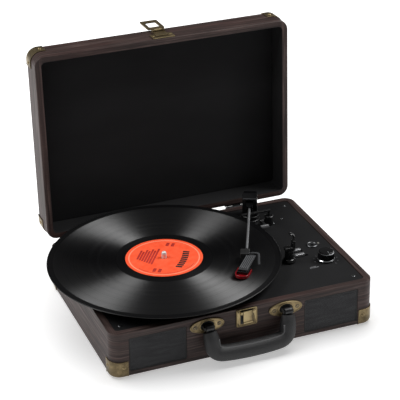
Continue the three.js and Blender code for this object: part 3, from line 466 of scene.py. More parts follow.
MARK = make_plastic("deck_print", srgb(120, 121, 123), 0.6)
BOARD = make_board("printed_board", srgb(22, 72, 40), srgb(44, 110, 62))
FIBRE = make_board("fibreboard", srgb(112, 84, 56), srgb(146, 114, 80))
GLOW = make_glow()


# ---------------------------------------------------------------- shape helpers
class Solid:
    """Points in millimetres and faces, with a finish number for each face."""

    def __init__(self):
        self.points = []
        self.faces = []
        self.kinds = []

    def face(self, corners, kind=0):
        self.faces.append(corners)
        self.kinds.append(kind)

    def loft(self, loops, kind=0, ring=False):
        """Joins closed loops of equal length into a skin, capped unless its last loop meets its first.
        A kind may be a list, one for each band."""
        start = len(self.points)
        n = len(loops[0])
        for loop in loops:
            self.points.extend(Vector(p) for p in loop)
        bands = len(loops) if ring else len(loops) - 1
        for i in range(bands):
            a = start + i * n
            b = start + ((i + 1) % len(loops)) * n
            tone = kind[i] if isinstance(kind, list) else kind
            for j in range(n):
                k = (j + 1) % n
                self.face([a + j, a + k, b + k, b + j], tone)
        if not ring:
            last = start + (len(loops) - 1) * n
            self.face([start + j for j in reversed(range(n))], kind)
            self.face([last + j for j in range(n)], kind)
        return self

    def tinted(self):
        """Gives every face the piece's second finish."""
        self.kinds = [1] * len(self.kinds)
        return self

    def moved(self, matrix):
        self.points = [matrix @ p for p in self.points]
        return self

    def join(self, other):
        start = len(self.points)
        self.points.extend(other.points)
        for corners, kind in zip(other.faces, other.kinds):
            self.face([start + c for c in corners], kind)
        return self


def about(middle, half):
    return middle - half, middle + half


def lifted(z, profile):
    """A turned profile whose heights are given from z."""
    return [(r, z + h) for r, h in profile]


def circle(r, z, n, x, y):
    return [(x + r * math.cos(TAU * i / n), y + r * math.sin(TAU * i / n), z) for i in range(n)]


def side_name(sign):
    return "right" if sign > 0 else "left"


def lathe(profile, n, x=0.0, y=0.0, kind=0, ring=False):
    """Turned about an upright line. The profile is a list of (radius, height)."""
    loops = [circle(max(r, 0.001), z, n, x, y) for r, z in profile]
    return Solid().loft(loops, kind, ring=ring)


def round_spindle(profile, n, kind=0):
    """Turned about the spindle, with a hole in the middle."""
    return lathe(profile, n, SPIN.x, SPIN.y, kind, ring=True)


def ribbed(r, z, n, depth, middle):
    """A circle whose every other point lies deeper."""
    spread = [(TAU * i / n, max(r - depth * (i % 2), 0.001)) for i in range(n)]
    return [(middle.x + q * math.cos(a), middle.y + q * math.sin(a), z) for a, q in spread]


def lying(solid, axis, x, y, z):
    """Turns an upright shape so that its axis lies along X or Y, then moves it."""
    turn = Matrix.Rotation(rad(90), 4, "Y") if axis == "X" else Matrix.Rotation(rad(90), 4, "X")
    return solid.moved(translation(x, y, z) @ turn)


def rounded(w, h, r, n=5):
    """Outline of a rounded rectangle, as (across, up) points."""
    points = []
    for sx, sy, start in ((1, 1, 0), (-1, 1, 90), (-1, -1, 180), (1, -1, 270)):
        for i in range(n + 1):
            a = rad(start + 90 * i / n)
            points.append((sx * (w / 2 - r) + r * math.cos(a), sy * (h / 2 - r) + r * math.sin(a)))
    return points


def oval(w, h, n=40):
    return [(w / 2 * math.cos(TAU * i / n), h / 2 * math.sin(TAU * i / n)) for i in range(n)]


def slab(outline, thick, edge):
    """A plate lying in XY from z 0 up to thick. outline(inset) gives its edge; the top edge is rounded."""
    loops = [[(x, y, 0.0) for x, y in outline(0.0)]]
    for degrees in (0, 30, 60, 90):
        a = rad(degrees)
        z = thick - edge + edge * math.sin(a)
        loops.append([(x, y, z) for x, y in outline(edge * (1 - math.cos(a)))])
    return Solid().loft(loops)


def rect_slab(w, h, r, thick, edge):
    return slab(lambda i: rounded(w - 2 * i, h - 2 * i, max(r - i, 0.05)), thick, edge)


def oval_slab(w, h, thick, edge):
    return slab(lambda i: oval(w - 2 * i, h - 2 * i), thick, edge)


FACE_FRONT = Matrix.Rotation(rad(90), 4, "X")  # a plate's top comes to look along -Y
FACE_BACK = Matrix.Rotation(rad(-90), 4, "X")


def on_front(solid, x, y, z):
    return solid.moved(translation(x, y, z) @ FACE_FRONT)


def on_back(solid, x, y, z):
    return solid.moved(translation(x, y, z) @ FACE_BACK)


def block(x0, x1, y0, y1, z0, z1, r):
    """A block with every edge rounded."""
    w, d, h = x1 - x0, y1 - y0, z1 - z0
    r = min(r, w * 0.45, d * 0.45, h * 0.45)
    loops = []
    for degrees, up in ((0, 0), (30, 0), (60, 0), (90, 0), (90, 1), (60, 1), (30, 1), (0, 1)):
        a = rad(degrees)
        inset = r * (1 - math.sin(a))
        z = h - r + r * math.cos(a) if up else r - r * math.cos(a)
        outline = rounded(w - 2 * inset, d - 2 * inset, r * 1.01 - inset + 0.01, 3)
        loops.append([(x, y, z) for x, y in outline])
    return Solid().loft(loops).moved(translation((x0 + x1) / 2, (y0 + y1) / 2, z0))


def sweep(path, section, upright=Vector((0, 0, 1)), ring=False):
    """Carries a section along a path. section(t) gives (across, up) points; upright steers its turn."""
    loops = []
    count = len(path)
    for i, p in enumerate(path):
        before = path[i - 1] if (i > 0 or ring) else p
        after = path[(i + 1) % count] if (i < count - 1 or ring) else p
        ahead = (Vector(after) - Vector(before)).normalized()
        side = ahead.cross(upright).normalized()
        up = side.cross(ahead)
        loops.append([Vector(p) + side * a + up * b for a, b in section(i / max(count - 1, 1))])
    return Solid().loft(loops, ring=ring)


def tube(path, r, n, **more):
    ring = oval(2 * r, 2 * r, n)
    return sweep(path, lambda t: ring, **more)


def spline(points, per):
    """A smooth curve through points, in so many steps from each to the next."""
    pts = [Vector(p) for p in points]
    pts = [pts[0] * 2 - pts[1]] + pts + [pts[-1] * 2 - pts[-2]]
    out = []
    for i in range(1, len(pts) - 2):
        p0, p1, p2, p3 = pts[i - 1 : i + 3]
        for s in range(per):
            t = s / per
            a = p1 * 2 + (p2 - p0) * t
            b = (p0 * 2 - p1 * 5 + p2 * 4 - p3) * t * t
            c = (p1 * 3 - p0 - p2 * 3 + p3) * t * t * t
            out.append((a + b + c) / 2)
    return out + [pts[-2]]


def add_object(name, data):
    obj = bpy.data.objects.new(name, data)
    bpy.context.scene.collection.objects.link(obj)
    return obj


def finish_mesh(obj, sharp=38):
    """Applies the modifiers, then sets smooth shading with sharp edges kept."""
    bpy.context.view_layer.update()
    made = bpy.data.meshes.new_from_object(obj.evaluated_get(bpy.context.evaluated_depsgraph_get()))
    obj.modifiers.clear()
    obj.data = made
    made.shade_smooth()
    made.set_sharp_from_angle(angle=rad(sharp))
    weigh = obj.modifiers.new("even_normals", "WEIGHTED_NORMAL")
    weigh.keep_sharp = True


def dress(obj, body, replaces):
    """Says what the piece rides on and the CAD nodes that it stands for."""
    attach(obj, body)
    if replaces:
        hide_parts(*replaces)
    return obj


def piece(name, solid, body, finishes, replaces=(), matrix=STRAIGHT, sharp=38, slot=None):
    """Makes one piece of the object from a Solid drawn in millimetres."""
    mesh = bpy.data.meshes.new(name)
    points = [matrix @ p for p in solid.points]
    where = [(MIDDLE.x + p.x * MM, MIDDLE.y + p.y * MM, p.z * MM) for p in points]
    mesh.from_pydata(where, [], solid.faces)
    finishes = finishes if isinstance(finishes, (list, tuple)) else [finishes]
    for finish in finishes:
        mesh.materials.append(finish)
    mesh.polygons.foreach_set("material_index", solid.kinds)
    bm = bmesh.new()
    bm.from_mesh(mesh)
    bmesh.ops.remove_doubles(bm, verts=bm.verts, dist=WELD)
    bmesh.ops.recalc_face_normals(bm, faces=bm.faces)
    bm.to_mesh(mesh)
    bm.free()
    obj = add_object(name, mesh)
    finish_mesh(obj, sharp)
    return dress(obj, body, replaces)


def add_bevel(obj, width, segments, weighted):
    cut = obj.modifiers.new("bevel", "BEVEL")
    cut.width = width * MM
    cut.segments = segments
    cut.limit_method = "WEIGHT" if weighted else "ANGLE"
    cut.angle_limit = rad(32)
    cut.use_clamp_overlap = True
    cut.miter_outer = "MITER_ARC"


def refined(node, finish, bevel=0.4, weigh=None, inner=None, segments=3):
    """A new piece in the exact place of a CAD node: welded, its edges rounded, with a new finish.
    weigh(a, b) gives an edge's share of the bevel; inner is (test, finish) for faces of another finish."""
    source = frame["nodes"][node]
    name = node + "_finished"
    mesh = bpy.data.meshes.new(name)
    bm = bmesh.new()
    bm.from_mesh(source.data)
    bmesh.ops.remove_doubles(bm, verts=bm.verts, dist=WELD)
    bmesh.ops.dissolve_limit(bm, angle_limit=rad(0.8), verts=bm.verts, edges=bm.edges)
    if weigh:
        layer = bm.edges.layers.float.new("bevel_weight_edge")
        for edge in bm.edges:
            if edge.calc_face_angle(0.0) > rad(30):
                edge[layer] = weigh(*[case_point(v.co) for v in edge.verts])
    for face in bm.faces:
        face.material_index = 0
        if inner and inner[0](case_point(face.calc_center_median())):
            face.material_index = 1
    bm.to_mesh(mesh)
    bm.free()
    mesh.materials.append(finish)
    if inner:
        mesh.materials.append(inner[1])
    obj = add_object(name, mesh)
    add_bevel(obj, bevel, segments, bool(weigh))
    finish_mesh(obj)
    return dress(obj, source["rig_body"], [node])


def screw(r, cross):
    """A small domed screw head with a cross slot drawn as a black bar for its shade, drawn upright at the
    origin.
    """
    height = 0.7
    dome = [(1, 0), (1, 0.4), (0.86, 0.8), (0.55, 1), (0, 1.05)]
    head = lathe([(r * a, height * b) for a, b in dome], 20)
    # The cross slot is a thin bar across the dome's top in the second, black finish: painted shade standing
    # for the slot's recess.
    for turn in (0, 90):
        groove = block(-r * 0.6, r * 0.6, -r * 0.12, r * 0.12, height * 0.9, height * 1.1, 0.05).tinted()
        head.join(groove.moved(Matrix.Rotation(rad(turn + 45 * cross), 4, "Z")))
    return head


# ---------------------------------------------------------------- case
BOX_CORNERS = {"front_left": (-1, -1), "front_right": (1, -1), "back_left": (-1, 1), "back_right": (1, 1)}
HALVES = (("base", BASE_BOTTOM, 1, STRAIGHT), ("lid", LID_TOP, -1, LID))
PLATE_FACE = FRONT - GAP - 1.1  # the front of the thin brass plates
SLIGHT = 0.2  # leeway when a point is matched to the outline


def case_edge_share(unfold, face_z, rim_z):
    """Full rounding where a half's outer face meets its walls, about half at its rim, a little elsewhere."""

    def share(a, b):
        ends = [unfold @ p for p in (a, b)]
        outside = all(rounded_distance(p.x, p.y) > -SLIGHT for p in ends)
        if outside and abs(ends[0].z - ends[1].z) < SLIGHT:
            for z, amount in ((face_z, 1.0), (rim_z, 0.55)):
                if abs(ends[0].z - z) < 0.3:
                    return amount
        return 0.14

    return share


def rounded_distance(x, y):
    """How far outside (+) or inside (-) the case's outline a point is."""
    dx = abs(x) - (HALF_W - CORNER_R)
    dy = abs(y) - (HALF_D - CORNER_R)
    if dx > 0 and dy > 0:
        return math.hypot(dx, dy) - CORNER_R
    return max(abs(x) - HALF_W, abs(y) - HALF_D)


def build_base():
    share = case_edge_share(STRAIGHT, BASE_BOTTOM, BASE_TOP)
    refined("base_shell", WRAP_BASE, EDGE_R, share, segments=5)
    refined("bottom_panel", FIBRE, bevel=0.5)
    refined("deck_plate", DECK, bevel=0.5)
    for sx, sy in ((1, 1), (1, -1), (-1, -1), (-1, 1)):
        head = screw(2.6, cross=sx * 0.4 + sy * 0.2)
        name = f"deck_screw_{side_name(sx)}_{'back' if sy > 0 else 'front'}"
        spot = translation(sx * DECK_SCREW_X, sy * DECK_SCREW_Y, DECK_TOP)
        piece(name, head, "base", [STEEL, BLACK], matrix=spot)
    for corner in BOX_CORNERS:
        mid = centre(f"foot_{corner}")
        top = edges_of(f"foot_{corner}")[1].z
        profile = [(8.2, 0), (8.5, 0.4), (9.5, 0.9), (9.5, top), (0, top), (0, 0.8), (4.5, 0.8), (5, 0)]
        pad = lathe(profile, 40, mid.x, mid.y, ring=True)
        piece(f"foot_{corner}_pad", pad, "base", RUBBER, [f"foot_{corner}"])


def in_lid_hollow(p):
    """True for the faces that line the lid's inside, in the open lid."""
    shut = LID.inverted() @ p
    inside = rounded_distance(shut.x, shut.y) < -LID_WALL + 0.6
    return inside and LID_BOTTOM + 0.05 < shut.z < LID_TOP - 0.5


def build_lid():
    share = case_edge_share(LID.inverted(), LID_TOP, LID_BOTTOM)
    refined("lid_shell", WRAP_LID, EDGE_R, share, (in_lid_hollow, LINING), segments=5)
    refined("lid_lining", LINING, bevel=0.4)


def cap_edge_share(unfold, face_z, up):
    """The rounding of a corner cap: its outside edge and the edge under it follow the case's own."""
    inner_share = (EDGE_R + GAP) / (EDGE_R + GAP + CAP_T)

    def share(a, b):
        ends = [unfold @ p for p in (a, b)]
        away = [rounded_distance(p.x, p.y) for p in ends]
        below = [(face_z - p.z) * up for p in ends]
        if all(abs(d - GAP - CAP_T) < 0.1 for d in away + below):
            return 1.0
        if all(abs(d - GAP) < 0.1 for d in away + below):
            return inner_share
        return 0.08

    return share


def build_corners():
    for where, face_z, up, matrix in HALVES:
        share = cap_edge_share(matrix.inverted(), face_z, up)
        for corner in BOX_CORNERS:
            refined(f"{where}_corner_{corner}", BRASS, bevel=EDGE_R + GAP + CAP_T, weigh=share, segments=5)


def corner_rivets():
    """Two domed rivets on each brass corner, one on either side."""
    rivet = [(2.1, 0), (2.1, 0.25), (1.7, 0.7), (0.9, 1.0), (0, 1.08)]
    in_from_end, in_from_face = 15, CAP_REACH - 8
    for half, face_z, up, matrix in HALVES:
        z = face_z + up * in_from_face
        for name, (sx, sy) in BOX_CORNERS.items():
            along = on_front if sy < 0 else on_back
            first = along(lathe(rivet, 16), sx * (HALF_W - in_from_end), sy * (HALF_D + GAP + CAP_T), z)
            side = lathe(rivet, 16).moved(Matrix.Rotation(rad(90 * sx), 4, "Y"))
            second = side.moved(translation(sx * (HALF_W + GAP + CAP_T), sy * (HALF_D - in_from_end), z))
            piece(f"{half}_corner_rivets_{name}", first.join(second), half, RUBBED, matrix=matrix)


build_base()
build_lid()
build_corners()
corner_rivets()


# ---------------------------------------------------------------- speakers
def build_grilles():
    """Stretched cloth over a thin frame: real crossing threads on a slightly crowned field."""
    for side in SIDES:
        mid = centre(f"speaker_grille_{side}")
        lo, hi = edges_of(f"speaker_grille_{side}")
        cloth = Solid()
        rim = 1.1
        w, h = GRILLE_W - 2 * rim, GRILLE_H - 2 * rim
        cols, rows = 84, 54
        for j in range(rows + 1):
            for i in range(cols + 1):
                u, v = 2 * i / cols - 1, 2 * j / rows - 1
                crown = 0.5 * (1 - u ** 6) * (1 - v ** 6)
                thread = 0.11 * (math.cos(math.pi * i) * math.cos(math.pi * j))
                x, z = mid.x + u * w / 2, mid.z + v * h / 2
                cloth.points.append(Vector((x, lo.y + 0.55 - crown + thread, z)))
        for j in range(rows):
            for i in range(cols):
                a = j * (cols + 1) + i
                cloth.face([a, a + 1, a + cols + 2, a + cols + 1])
        cloth.join(on_front(rect_slab(w, h, 1.5, 0.5, 0.1), mid.x, hi.y, mid.z))
        piece(f"speaker_cloth_{side}", cloth, "base", CLOTH, [f"speaker_grille_{side}"], sharp=180)
        loops = []
        face, shoulder = lo.y, lo.y + 0.3
        for inset, y in ((0, hi.y), (0, shoulder), (0.25, face), (1.3, face), (1.6, shoulder), (1.6, hi.y)):
            outline = rounded(GRILLE_W - 2 * inset, GRILLE_H - 2 * inset, 2.2 - inset * 0.5)
            loops.append([(mid.x + a, y, mid.z + b) for a, b in outline])
        piece(f"speaker_frame_{side}", Solid().loft(loops, ring=True), "base", DULL)
        refined(f"speaker_driver_{side}", BLACK, bevel=0.3)


# ---------------------------------------------------------------- latch and hasp
def build_latch():
    screw_x, screw_z = 11, 9.2
    mid = centre("latch_plate")
    refined("latch_plate", BRASS, bevel=0.35)
    refined("latch_catch", RUBBED, bevel=0.4)
    # A thin dark pad round the catch: painted shade where the catch sits in the plate.
    well_shade = on_front(rect_slab(17, 20, 0.8, 0.3, 0.1), 0, PLATE_FACE, centre("latch_catch").z - 0.4)
    piece("latch_well_painted_shade", well_shade, "base", DULL)
    line = [Vector((x, PLATE_FACE - 0.05, mid.z + z)) for x, z in rounded(26.4, 22.8, 2.0)]
    border = tube(line, 0.6, 8, upright=ALONG_Y, ring=True)
    piece("latch_border", border, "base", RUBBED, sharp=60)
    for sx in (-1, 1):
        for up in (-1, 1):
            head = on_front(screw(1.5, sx * 0.3 + up), sx * screw_x, PLATE_FACE, mid.z + up * screw_z)
            name = f"latch_screw_{side_name(sx)}_{'top' if up > 0 else 'bottom'}"
            piece(name, head, "base", [BRASS, BLACK])


def build_hasp():
    refined("hasp_plate", BRASS, bevel=0.3)
    refined("hasp_loop", BRASS, bevel=0.35)
    screw_x, screw_z = 11.6, LID_BOTTOM + 9
    for sx in (-1, 1):
        head = on_front(screw(1.5, sx), sx * screw_x, PLATE_FACE, screw_z)
        piece(f"hasp_screw_{side_name(sx)}", head, "lid", [BRASS, BLACK], matrix=LID)


# ---------------------------------------------------------------- handle
def grip_path():
    """The line of the handle: two legs, two bends and a slightly bowed bar, as the CAD draws it."""
    drop, bow, bend, lean = 35.5, 2.5, 13.5, 2.3
    leg_end = drop - bend

    def point(x, s):
        tilt = rad(HANDLE_TILT)
        return Vector((x, HANDLE_Y - s * math.sin(tilt), HANDLE_Z - s * math.cos(tilt)))

    def bezier(p0, p1, p2, p3, n):
        out = []
        for i in range(1, n + 1):
            t = i / n
            a = p0 * (1 - t) ** 3 + p1 * 3 * t * (1 - t) ** 2
            out.append(a + p2 * 3 * t * t * (1 - t) + p3 * t ** 3)
        return out

    def leg(side, share):
        return point(side * (HANDLE_X - lean * share), GRIP_START + (leg_end - GRIP_START) * share)

    x = HANDLE_X - lean
    path = [leg(-1, i / LEG_STEPS) for i in range(LEG_STEPS + 1)]
    turn = [(x, leg_end), (x, leg_end + bend * 0.6), (x - bend * 0.4, drop - 1), (x - bend, drop)]
    bar = [(-x + bend, drop), (-x / 3, drop + bow), (x / 3, drop + bow), (x - bend, drop)]
    for corners, steps in (([(-a, s) for a, s in turn], 10), (bar, 18), (turn[::-1], 10)):
        path += bezier(*[point(*c) for c in corners], steps)
    path += [leg(1, 1 - i / LEG_STEPS) for i in range(1, LEG_STEPS + 1)]
    return path


def build_handle():
    """Padded leatherette grip with a rolled seam on its inner edge, coloured paler than the grip as a painted
    highlight, and a link at each end.
    """
    path = grip_path()
    tilt = Vector((0, -math.cos(rad(HANDLE_TILT)), math.sin(rad(HANDLE_TILT))))

    def section(t):
        steps_in = min(t, 1 - t) * (len(path) - 1)
        grown = math.sin(math.pi / 2 * min(1.0, steps_in / LEG_STEPS * 1.2))
        bar = max(0.0, min(1.0, (steps_in - LEG_STEPS) / 8))
        wide = GRIP_R * (0.86 + 0.2 * grown + 0.04 * bar)
        deep = GRIP_R * (0.6 + 0.38 * grown + 0.08 * bar)
        return oval(2 * wide, 2 * deep, 28)

    body = sweep(path, section, upright=tilt)
    link = Solid()
    eye_profile = [(2.0, -4.9), (4.3, -4.9), (4.6, -4.4), (4.6, 4.4), (4.3, 4.9), (2.0, 4.9)]
    for sx in (-1, 1):
        turn = translation(sx * HANDLE_X, HANDLE_Y, HANDLE_Z) @ Matrix.Rotation(rad(-HANDLE_TILT), 4, "X")
        neck = block(-4.6, 4.6, -2.4, 2.4, -11.5, -1, 1.0).moved(turn)
        eye = lying(lathe(eye_profile, 28, ring=True), "X", sx * HANDLE_X, HANDLE_Y, HANDLE_Z)
        link.join(neck).join(eye)
    piece("handle_links", link, "handle", BLACK, slot="steel")
    piece("handle_grip_cover", body, "handle", GRIP, ["handle_grip"], sharp=60)
    turn_out = rad(38)
    inner = []
    for p in path[LEG_STEPS - 2 : 2 - LEG_STEPS]:
        away = toward_middle(p) * math.cos(turn_out) + tilt * math.sin(turn_out)
        inner.append(p + away * GRIP_R)
    # The seam takes the pale piping finish, its painted highlight.
    piece("handle_seam", tube(inner, 1.3, 10, upright=tilt), "handle", PIPING_PAINTED_HIGHLIGHT, sharp=180)


def toward_middle(p):
    """Direction from a point of the grip's line to the inside of the loop."""
    bend = 14
    away = Vector((0, HANDLE_Y, HANDLE_Z)) - p
    near_leg = max(0.0, abs(p.x) - (HANDLE_X - bend)) / bend
    away.x *= near_leg if near_leg >= 0.05 else 0
    return away.normalized()


def build_handle_plates():
    """Pressed brass ovals with a beaded rim, a dark socket round the pivot whose flat black oval is painted
    shade in its opening, and a screw at each end.
    """
    for side, sx in SIDES.items():
        x = sx * HANDLE_X
        back = FRONT - GAP
        wide, tall, thick, pivot_to_screw = 45, 19, 1.3, 15.6
        plate = on_front(oval_slab(wide, tall, thick, 0.6), x, back, HANDLE_Z)
        plate.join(oval_rim(x, back - 1.1, wide - 1.4, tall - 1.4, 0.75))
        plate.join(oval_rim(x, back - 1.3, 19, 14.5, 0.9))
        piece(f"handle_plate_{side}_pressed", plate, "base", RUBBED, [f"handle_plate_{side}"])
        # The flat black oval inside the inner bead is painted shade where the plate opens round the pivot;
        # the ears and the pin are real parts.
        socket = on_front(oval_slab(18.4, 14, 0.4, 0.1), x, back - 1.2, HANDLE_Z)
        for s in (-1, 1):
            across, up = about(x + s * 6.1, 0.8), about(HANDLE_Z, 2.4)
            socket.join(block(*across, HANDLE_Y - 2.4, back - 0.4, *up, 0.5))
        socket.join(lying(lathe([(1.6, -7.0), (1.6, 7.0)], 20), "X", x, HANDLE_Y, HANDLE_Z))
        piece(f"handle_socket_painted_shade_{side}", socket, "base", DULL)
        for s in (-1, 1):
            washer = lathe([(1.6, 0), (2.5, 0), (2.5, 0.2), (1.6, 0.2)], 20, ring=True).tinted()
            head = screw(1.7, s + sx).join(washer)
            head = on_front(head, x + s * pivot_to_screw, back - thick, HANDLE_Z)
            name = f"handle_screw_{side}_{'outer' if s == sx else 'inner'}"
            piece(name, head, "base", [RUBBED, BLACK])


def oval_rim(x, y, w, h, r):
    """A rounded bead that runs round an oval, on the front of the case."""
    line = [Vector((x + a, y, HANDLE_Z + b)) for a, b in oval(w, h, 48)]
    return tube(line, r, 10, upright=ALONG_Y, ring=True)


build_grilles()
build_latch()
build_hasp()
build_handle()
build_handle_plates()


# ---------------------------------------------------------------- record and platter
def build_record():
    """A long-playing record: edge bead, lead-in, bands of grooves, dead wax and label recess."""
    top, low = RECORD_TOP, RECORD_LOW
    edge, label = RECORD_R, LABEL_R
    groove, gap = 0, 1  # the finish that each band takes: with grooves or smooth
    bands = [(edge - 0.5, low, gap), (edge, low + 0.6, gap), (edge - 0.1, top - 0.35, gap)]
    bands += [(edge - 0.8, top - 0.02, gap), (edge - 2.2, top - 0.12, gap), (edge - 3.2, top - 0.3, gap)]
    bands += [(edge - 8, top - 0.32, groove)]
    for r in TRACK_GAPS:
        bands += [(r + 0.25, top - 0.32, groove), (r, top - 0.35, gap), (r - 0.25, top - 0.32, groove)]
    bands += [(63, top - 0.3, gap), (60.5, top - 0.34, gap), (60.1, top - 0.28, gap)]
    bands += [(label + 3, top - 0.3, gap)]
    bands += [(label + 1.2, top - 0.05, gap), (label + 0.4, top - 0.05, gap), (label + 0.3, top - 0.4, gap)]
    bands += [(3.7, top - 0.4, gap), (3.7, low, gap)]
    radii, heights, kinds = zip(*bands)
    disc = round_spindle(list(zip(radii, heights)), 180, list(kinds))
    piece("record_pressing", disc, "turntable", [GROOVED, SMOOTH], ["record_disc"], sharp=70)


def flat_ring(r0, r1, z0, z1, start=0.0, end=TAU):
    """A thin printed ring, or an arc of one, on the label."""
    steps = int(96 * (end - start) / TAU)
    whole = abs(end - start - TAU) < 1e-6
    loops = []
    for i in range(steps if whole else steps + 1):
        a = start + (end - start) * i / steps
        section = ((r0, z0), (r1, z0), (r1, z1), (r0, z1))
        loops.append([(SPIN.x + r * math.cos(a), SPIN.y + r * math.sin(a), z) for r, z in section])
    return Solid().loft(loops, ring=whole)


def build_label():
    """Paper label with a pale ring and plain bars where a label carries its print."""
    top = RECORD_TOP
    low = top - 0.2
    print_turn = -34
    profile = [(3.9, low), (LABEL_R, low), (LABEL_R, top - 0.06), (LABEL_R - 0.2, top - 0.02)]
    profile += [(17, top - 0.02), (16.6, top - 0.08), (16, top - 0.08), (15.6, top - 0.02), (3.9, top - 0.02)]
    piece("record_label_paper", round_spindle(profile, 96), "turntable", LABEL, ["record_label"])
    ink = top - 0.05
    print_z = (ink, top + 0.03)
    piece("label_rim_line", flat_ring(44.6, 46.2, ink, top + 0.02), "turntable", PALE_PRINT)
    turn = translation(SPIN.x, SPIN.y, 0) @ Matrix.Rotation(rad(print_turn), 4, "Z")
    title = Solid()
    for i in range(9):
        along = -20 + 5 * i
        near = 22 - along * along / 220
        title.join(block(near, near + 8.5, *about(along, 1.9), *print_z, 0.03))
    piece("label_title_bars", title.moved(turn), "turntable", INK)
    rows = Solid()
    for i in range(7):
        reach = 21 - 1.5 * i
        near = -10.4 - 3.5 * i
        rows.join(block(near - 2.5, near, -reach, reach - 4 * (i % 2), *print_z, 0.03))
    for side in (-1, 1):
        for i in range(2):
            rows.join(block(-6 + 7 * i, -2 + 7 * i, *about(side * 35, 4.5), *print_z, 0.03))
    rows.moved(turn)
    rows.join(flat_ring(41.6, 42.2, *print_z, start=rad(200), end=rad(315)))
    piece("label_print", rows, "turntable", PRINT)


def build_platter():
    """Platter with a ribbed edge and a hollow below, its mat and spindle, and the drive."""
    lo, hi = edges_of("platter")
    base, top, edge = lo.z, hi.z, PLATTER_R
    profile = [(edge - 3, base), (edge - 0.6, base), (edge, base + 0.8), (edge, top - 1.2)]
    profile += [(edge - 0.4, top - 0.4), (edge - 1.2, top), (3.8, top), (3.8, base - 0.4)]
    profile += [(9, base - 0.4), (9, top - 3), (66, top - 3), (66, base + 0.5), (70, base + 0.5)]
    profile += [(70, top - 3), (edge - 3, top - 3)]
    loops = [ribbed(r, z, 180, 0.35 * (r == edge), SPIN) for r, z in profile]
    piece("platter_moulding", Solid().loft(loops, ring=True), "turntable", BLACK, ["platter"], sharp=30)
    lo, hi = edges_of("slip_mat")
    z0, z1 = lo.z, hi.z
    profile = [(4, z0), (edge - 1.2, z0), (edge - 1, z0 + 0.3), (edge - 1.3, z1 - 0.1), (edge - 2, z1)]
    for r in range(90, 10, -6):
        profile += [(r + 1.2, z1), (r + 0.8, z1 - 0.25), (r, z1 - 0.25), (r - 0.4, z1)]
    profile += [(4, z1)]
    piece("slip_mat_felt_disc", round_spindle(profile, 96), "turntable", FELT, ["slip_mat"])
    lo, hi = edges_of("platter_spindle")
    profile = [(0, lo.z), (2.7, lo.z), (3.5, lo.z + 1)]
    profile += lifted(hi.z, [(3.5, -4), (3.35, -2.8), (2.9, -1.6), (2.1, -0.7), (1.1, -0.15), (0, 0)])
    piece("spindle_pin", lathe(profile, 32, SPIN.x, SPIN.y), "turntable", NICKEL, ["platter_spindle"])
    for node, finish, bevel in (
        ("spindle_bush", BRASS, 0.2),
        ("motor", DARK_STEEL, 0.3),
        ("motor_pulley", BRASS, 0.2),
        ("drive_belt", RUBBER, 0.15),
        ("circuit_board", BOARD, 0.3),
    ):
        refined(node, finish, bevel)


build_record()
build_label()
build_platter()


# ---------------------------------------------------------------- tonearm
def build_turret():
    """Round foot, turret and block with a grey strip painted on as the highlight of its front top edge, and a
    pivot cap on each side.
    """
    lo, hi = edges_of("tonearm_base")
    profile = lifted(lo.z, [(0, 0), (13.1, 0), (13.5, 0.5), (13.5, 1.6), (13.0, 2.0), (12.7, 2.6)])
    profile += [(12.6, hi.z - 0.6), (12.1, hi.z), (0, hi.z)]
    piece("tonearm_base_ring", lathe(profile, 56, ARM_X, ARM_Y), "base", BLACK, ["tonearm_base"])
    refined("tonearm_turret", BLACK, 1.1, segments=4)
    refined("tonearm_block", GLOSS, 0.8, segments=4)
    # A grey strip on the block's front top edge: a painted highlight where that edge catches the light.
    trim = block(-9.2, 9.2, -9.0, -7.6, ARM_Z + 8.5, ARM_Z + 10.1, 0.5)
    piece("turret_painted_highlight", trim, "turret", GREY, matrix=ARM)
    cap_profile = [(0.4, -10.15), (1.7, -10.15), (1.9, -9.9), (1.9, -9.7), (0.4, -9.7)]
    caps = Solid()
    for s in SIDES.values():
        cap = lying(lathe(cap_profile, 20, ring=True), "X", 0, 0, 0)
        caps.join(cap.moved(translation(0, 0, ARM_Z) @ Matrix.Scale(s, 4, ALONG_X)))
    piece("turret_pivot_caps", caps, "turret", DARK_STEEL, matrix=ARM)


def build_arm_tube():
    """Thin tube, its ribbed collar before the headshell and the bent finger lift."""
    start, end, steps = -13, -TUBE_END - 6, 24
    path = [Vector((0, start + (end - start) * i / steps, ARM_Z)) for i in range(steps + 1)]
    arm = tube(path, TUBE_R, 28)
    piece("tonearm_tube_drawn", arm, "tonearm", SILVER, ["tonearm_tube"], matrix=ARM)
    collar = block(-8.2, 3.8, -152, -138, ARM_Z - 4.2, ARM_Z + 3.6, 1.3)
    for y in (-149.5, -146.5, -143.5):
        collar.join(block(-7.6, 3.2, *about(y, 0.6), ARM_Z + 3.2, ARM_Z + 4.0, 0.3))
    nut = lathe([(1.8, 0), (3.0, 0), (3.0, 1.6), (2.6, 2.4), (1.8, 2.4)], 28, ring=True)
    collar.join(lying(nut, "Y", 0, -135.8, ARM_Z))
    piece("headshell_collar", collar, "tonearm", DULL, matrix=ARM)
    bend = [(3.6, -143), (8, -142.8), (12.6, -142.8), (15.2, -144.4)]
    bend += [(15.8, -149), (16, -158), (16.3, -168), (16.6, -173)]
    path = spline([Vector((x, y, ARM_Z - 0.3)) for x, y in bend], 5)
    lift = sweep(path, lambda t: oval(2.8, 1.3, 12))
    look = {"matrix": ARM, "sharp": 60, "slot": "black_plastic"}
    piece("finger_lift_bent", lift, "tonearm", GREY, ["finger_lift"], **look)


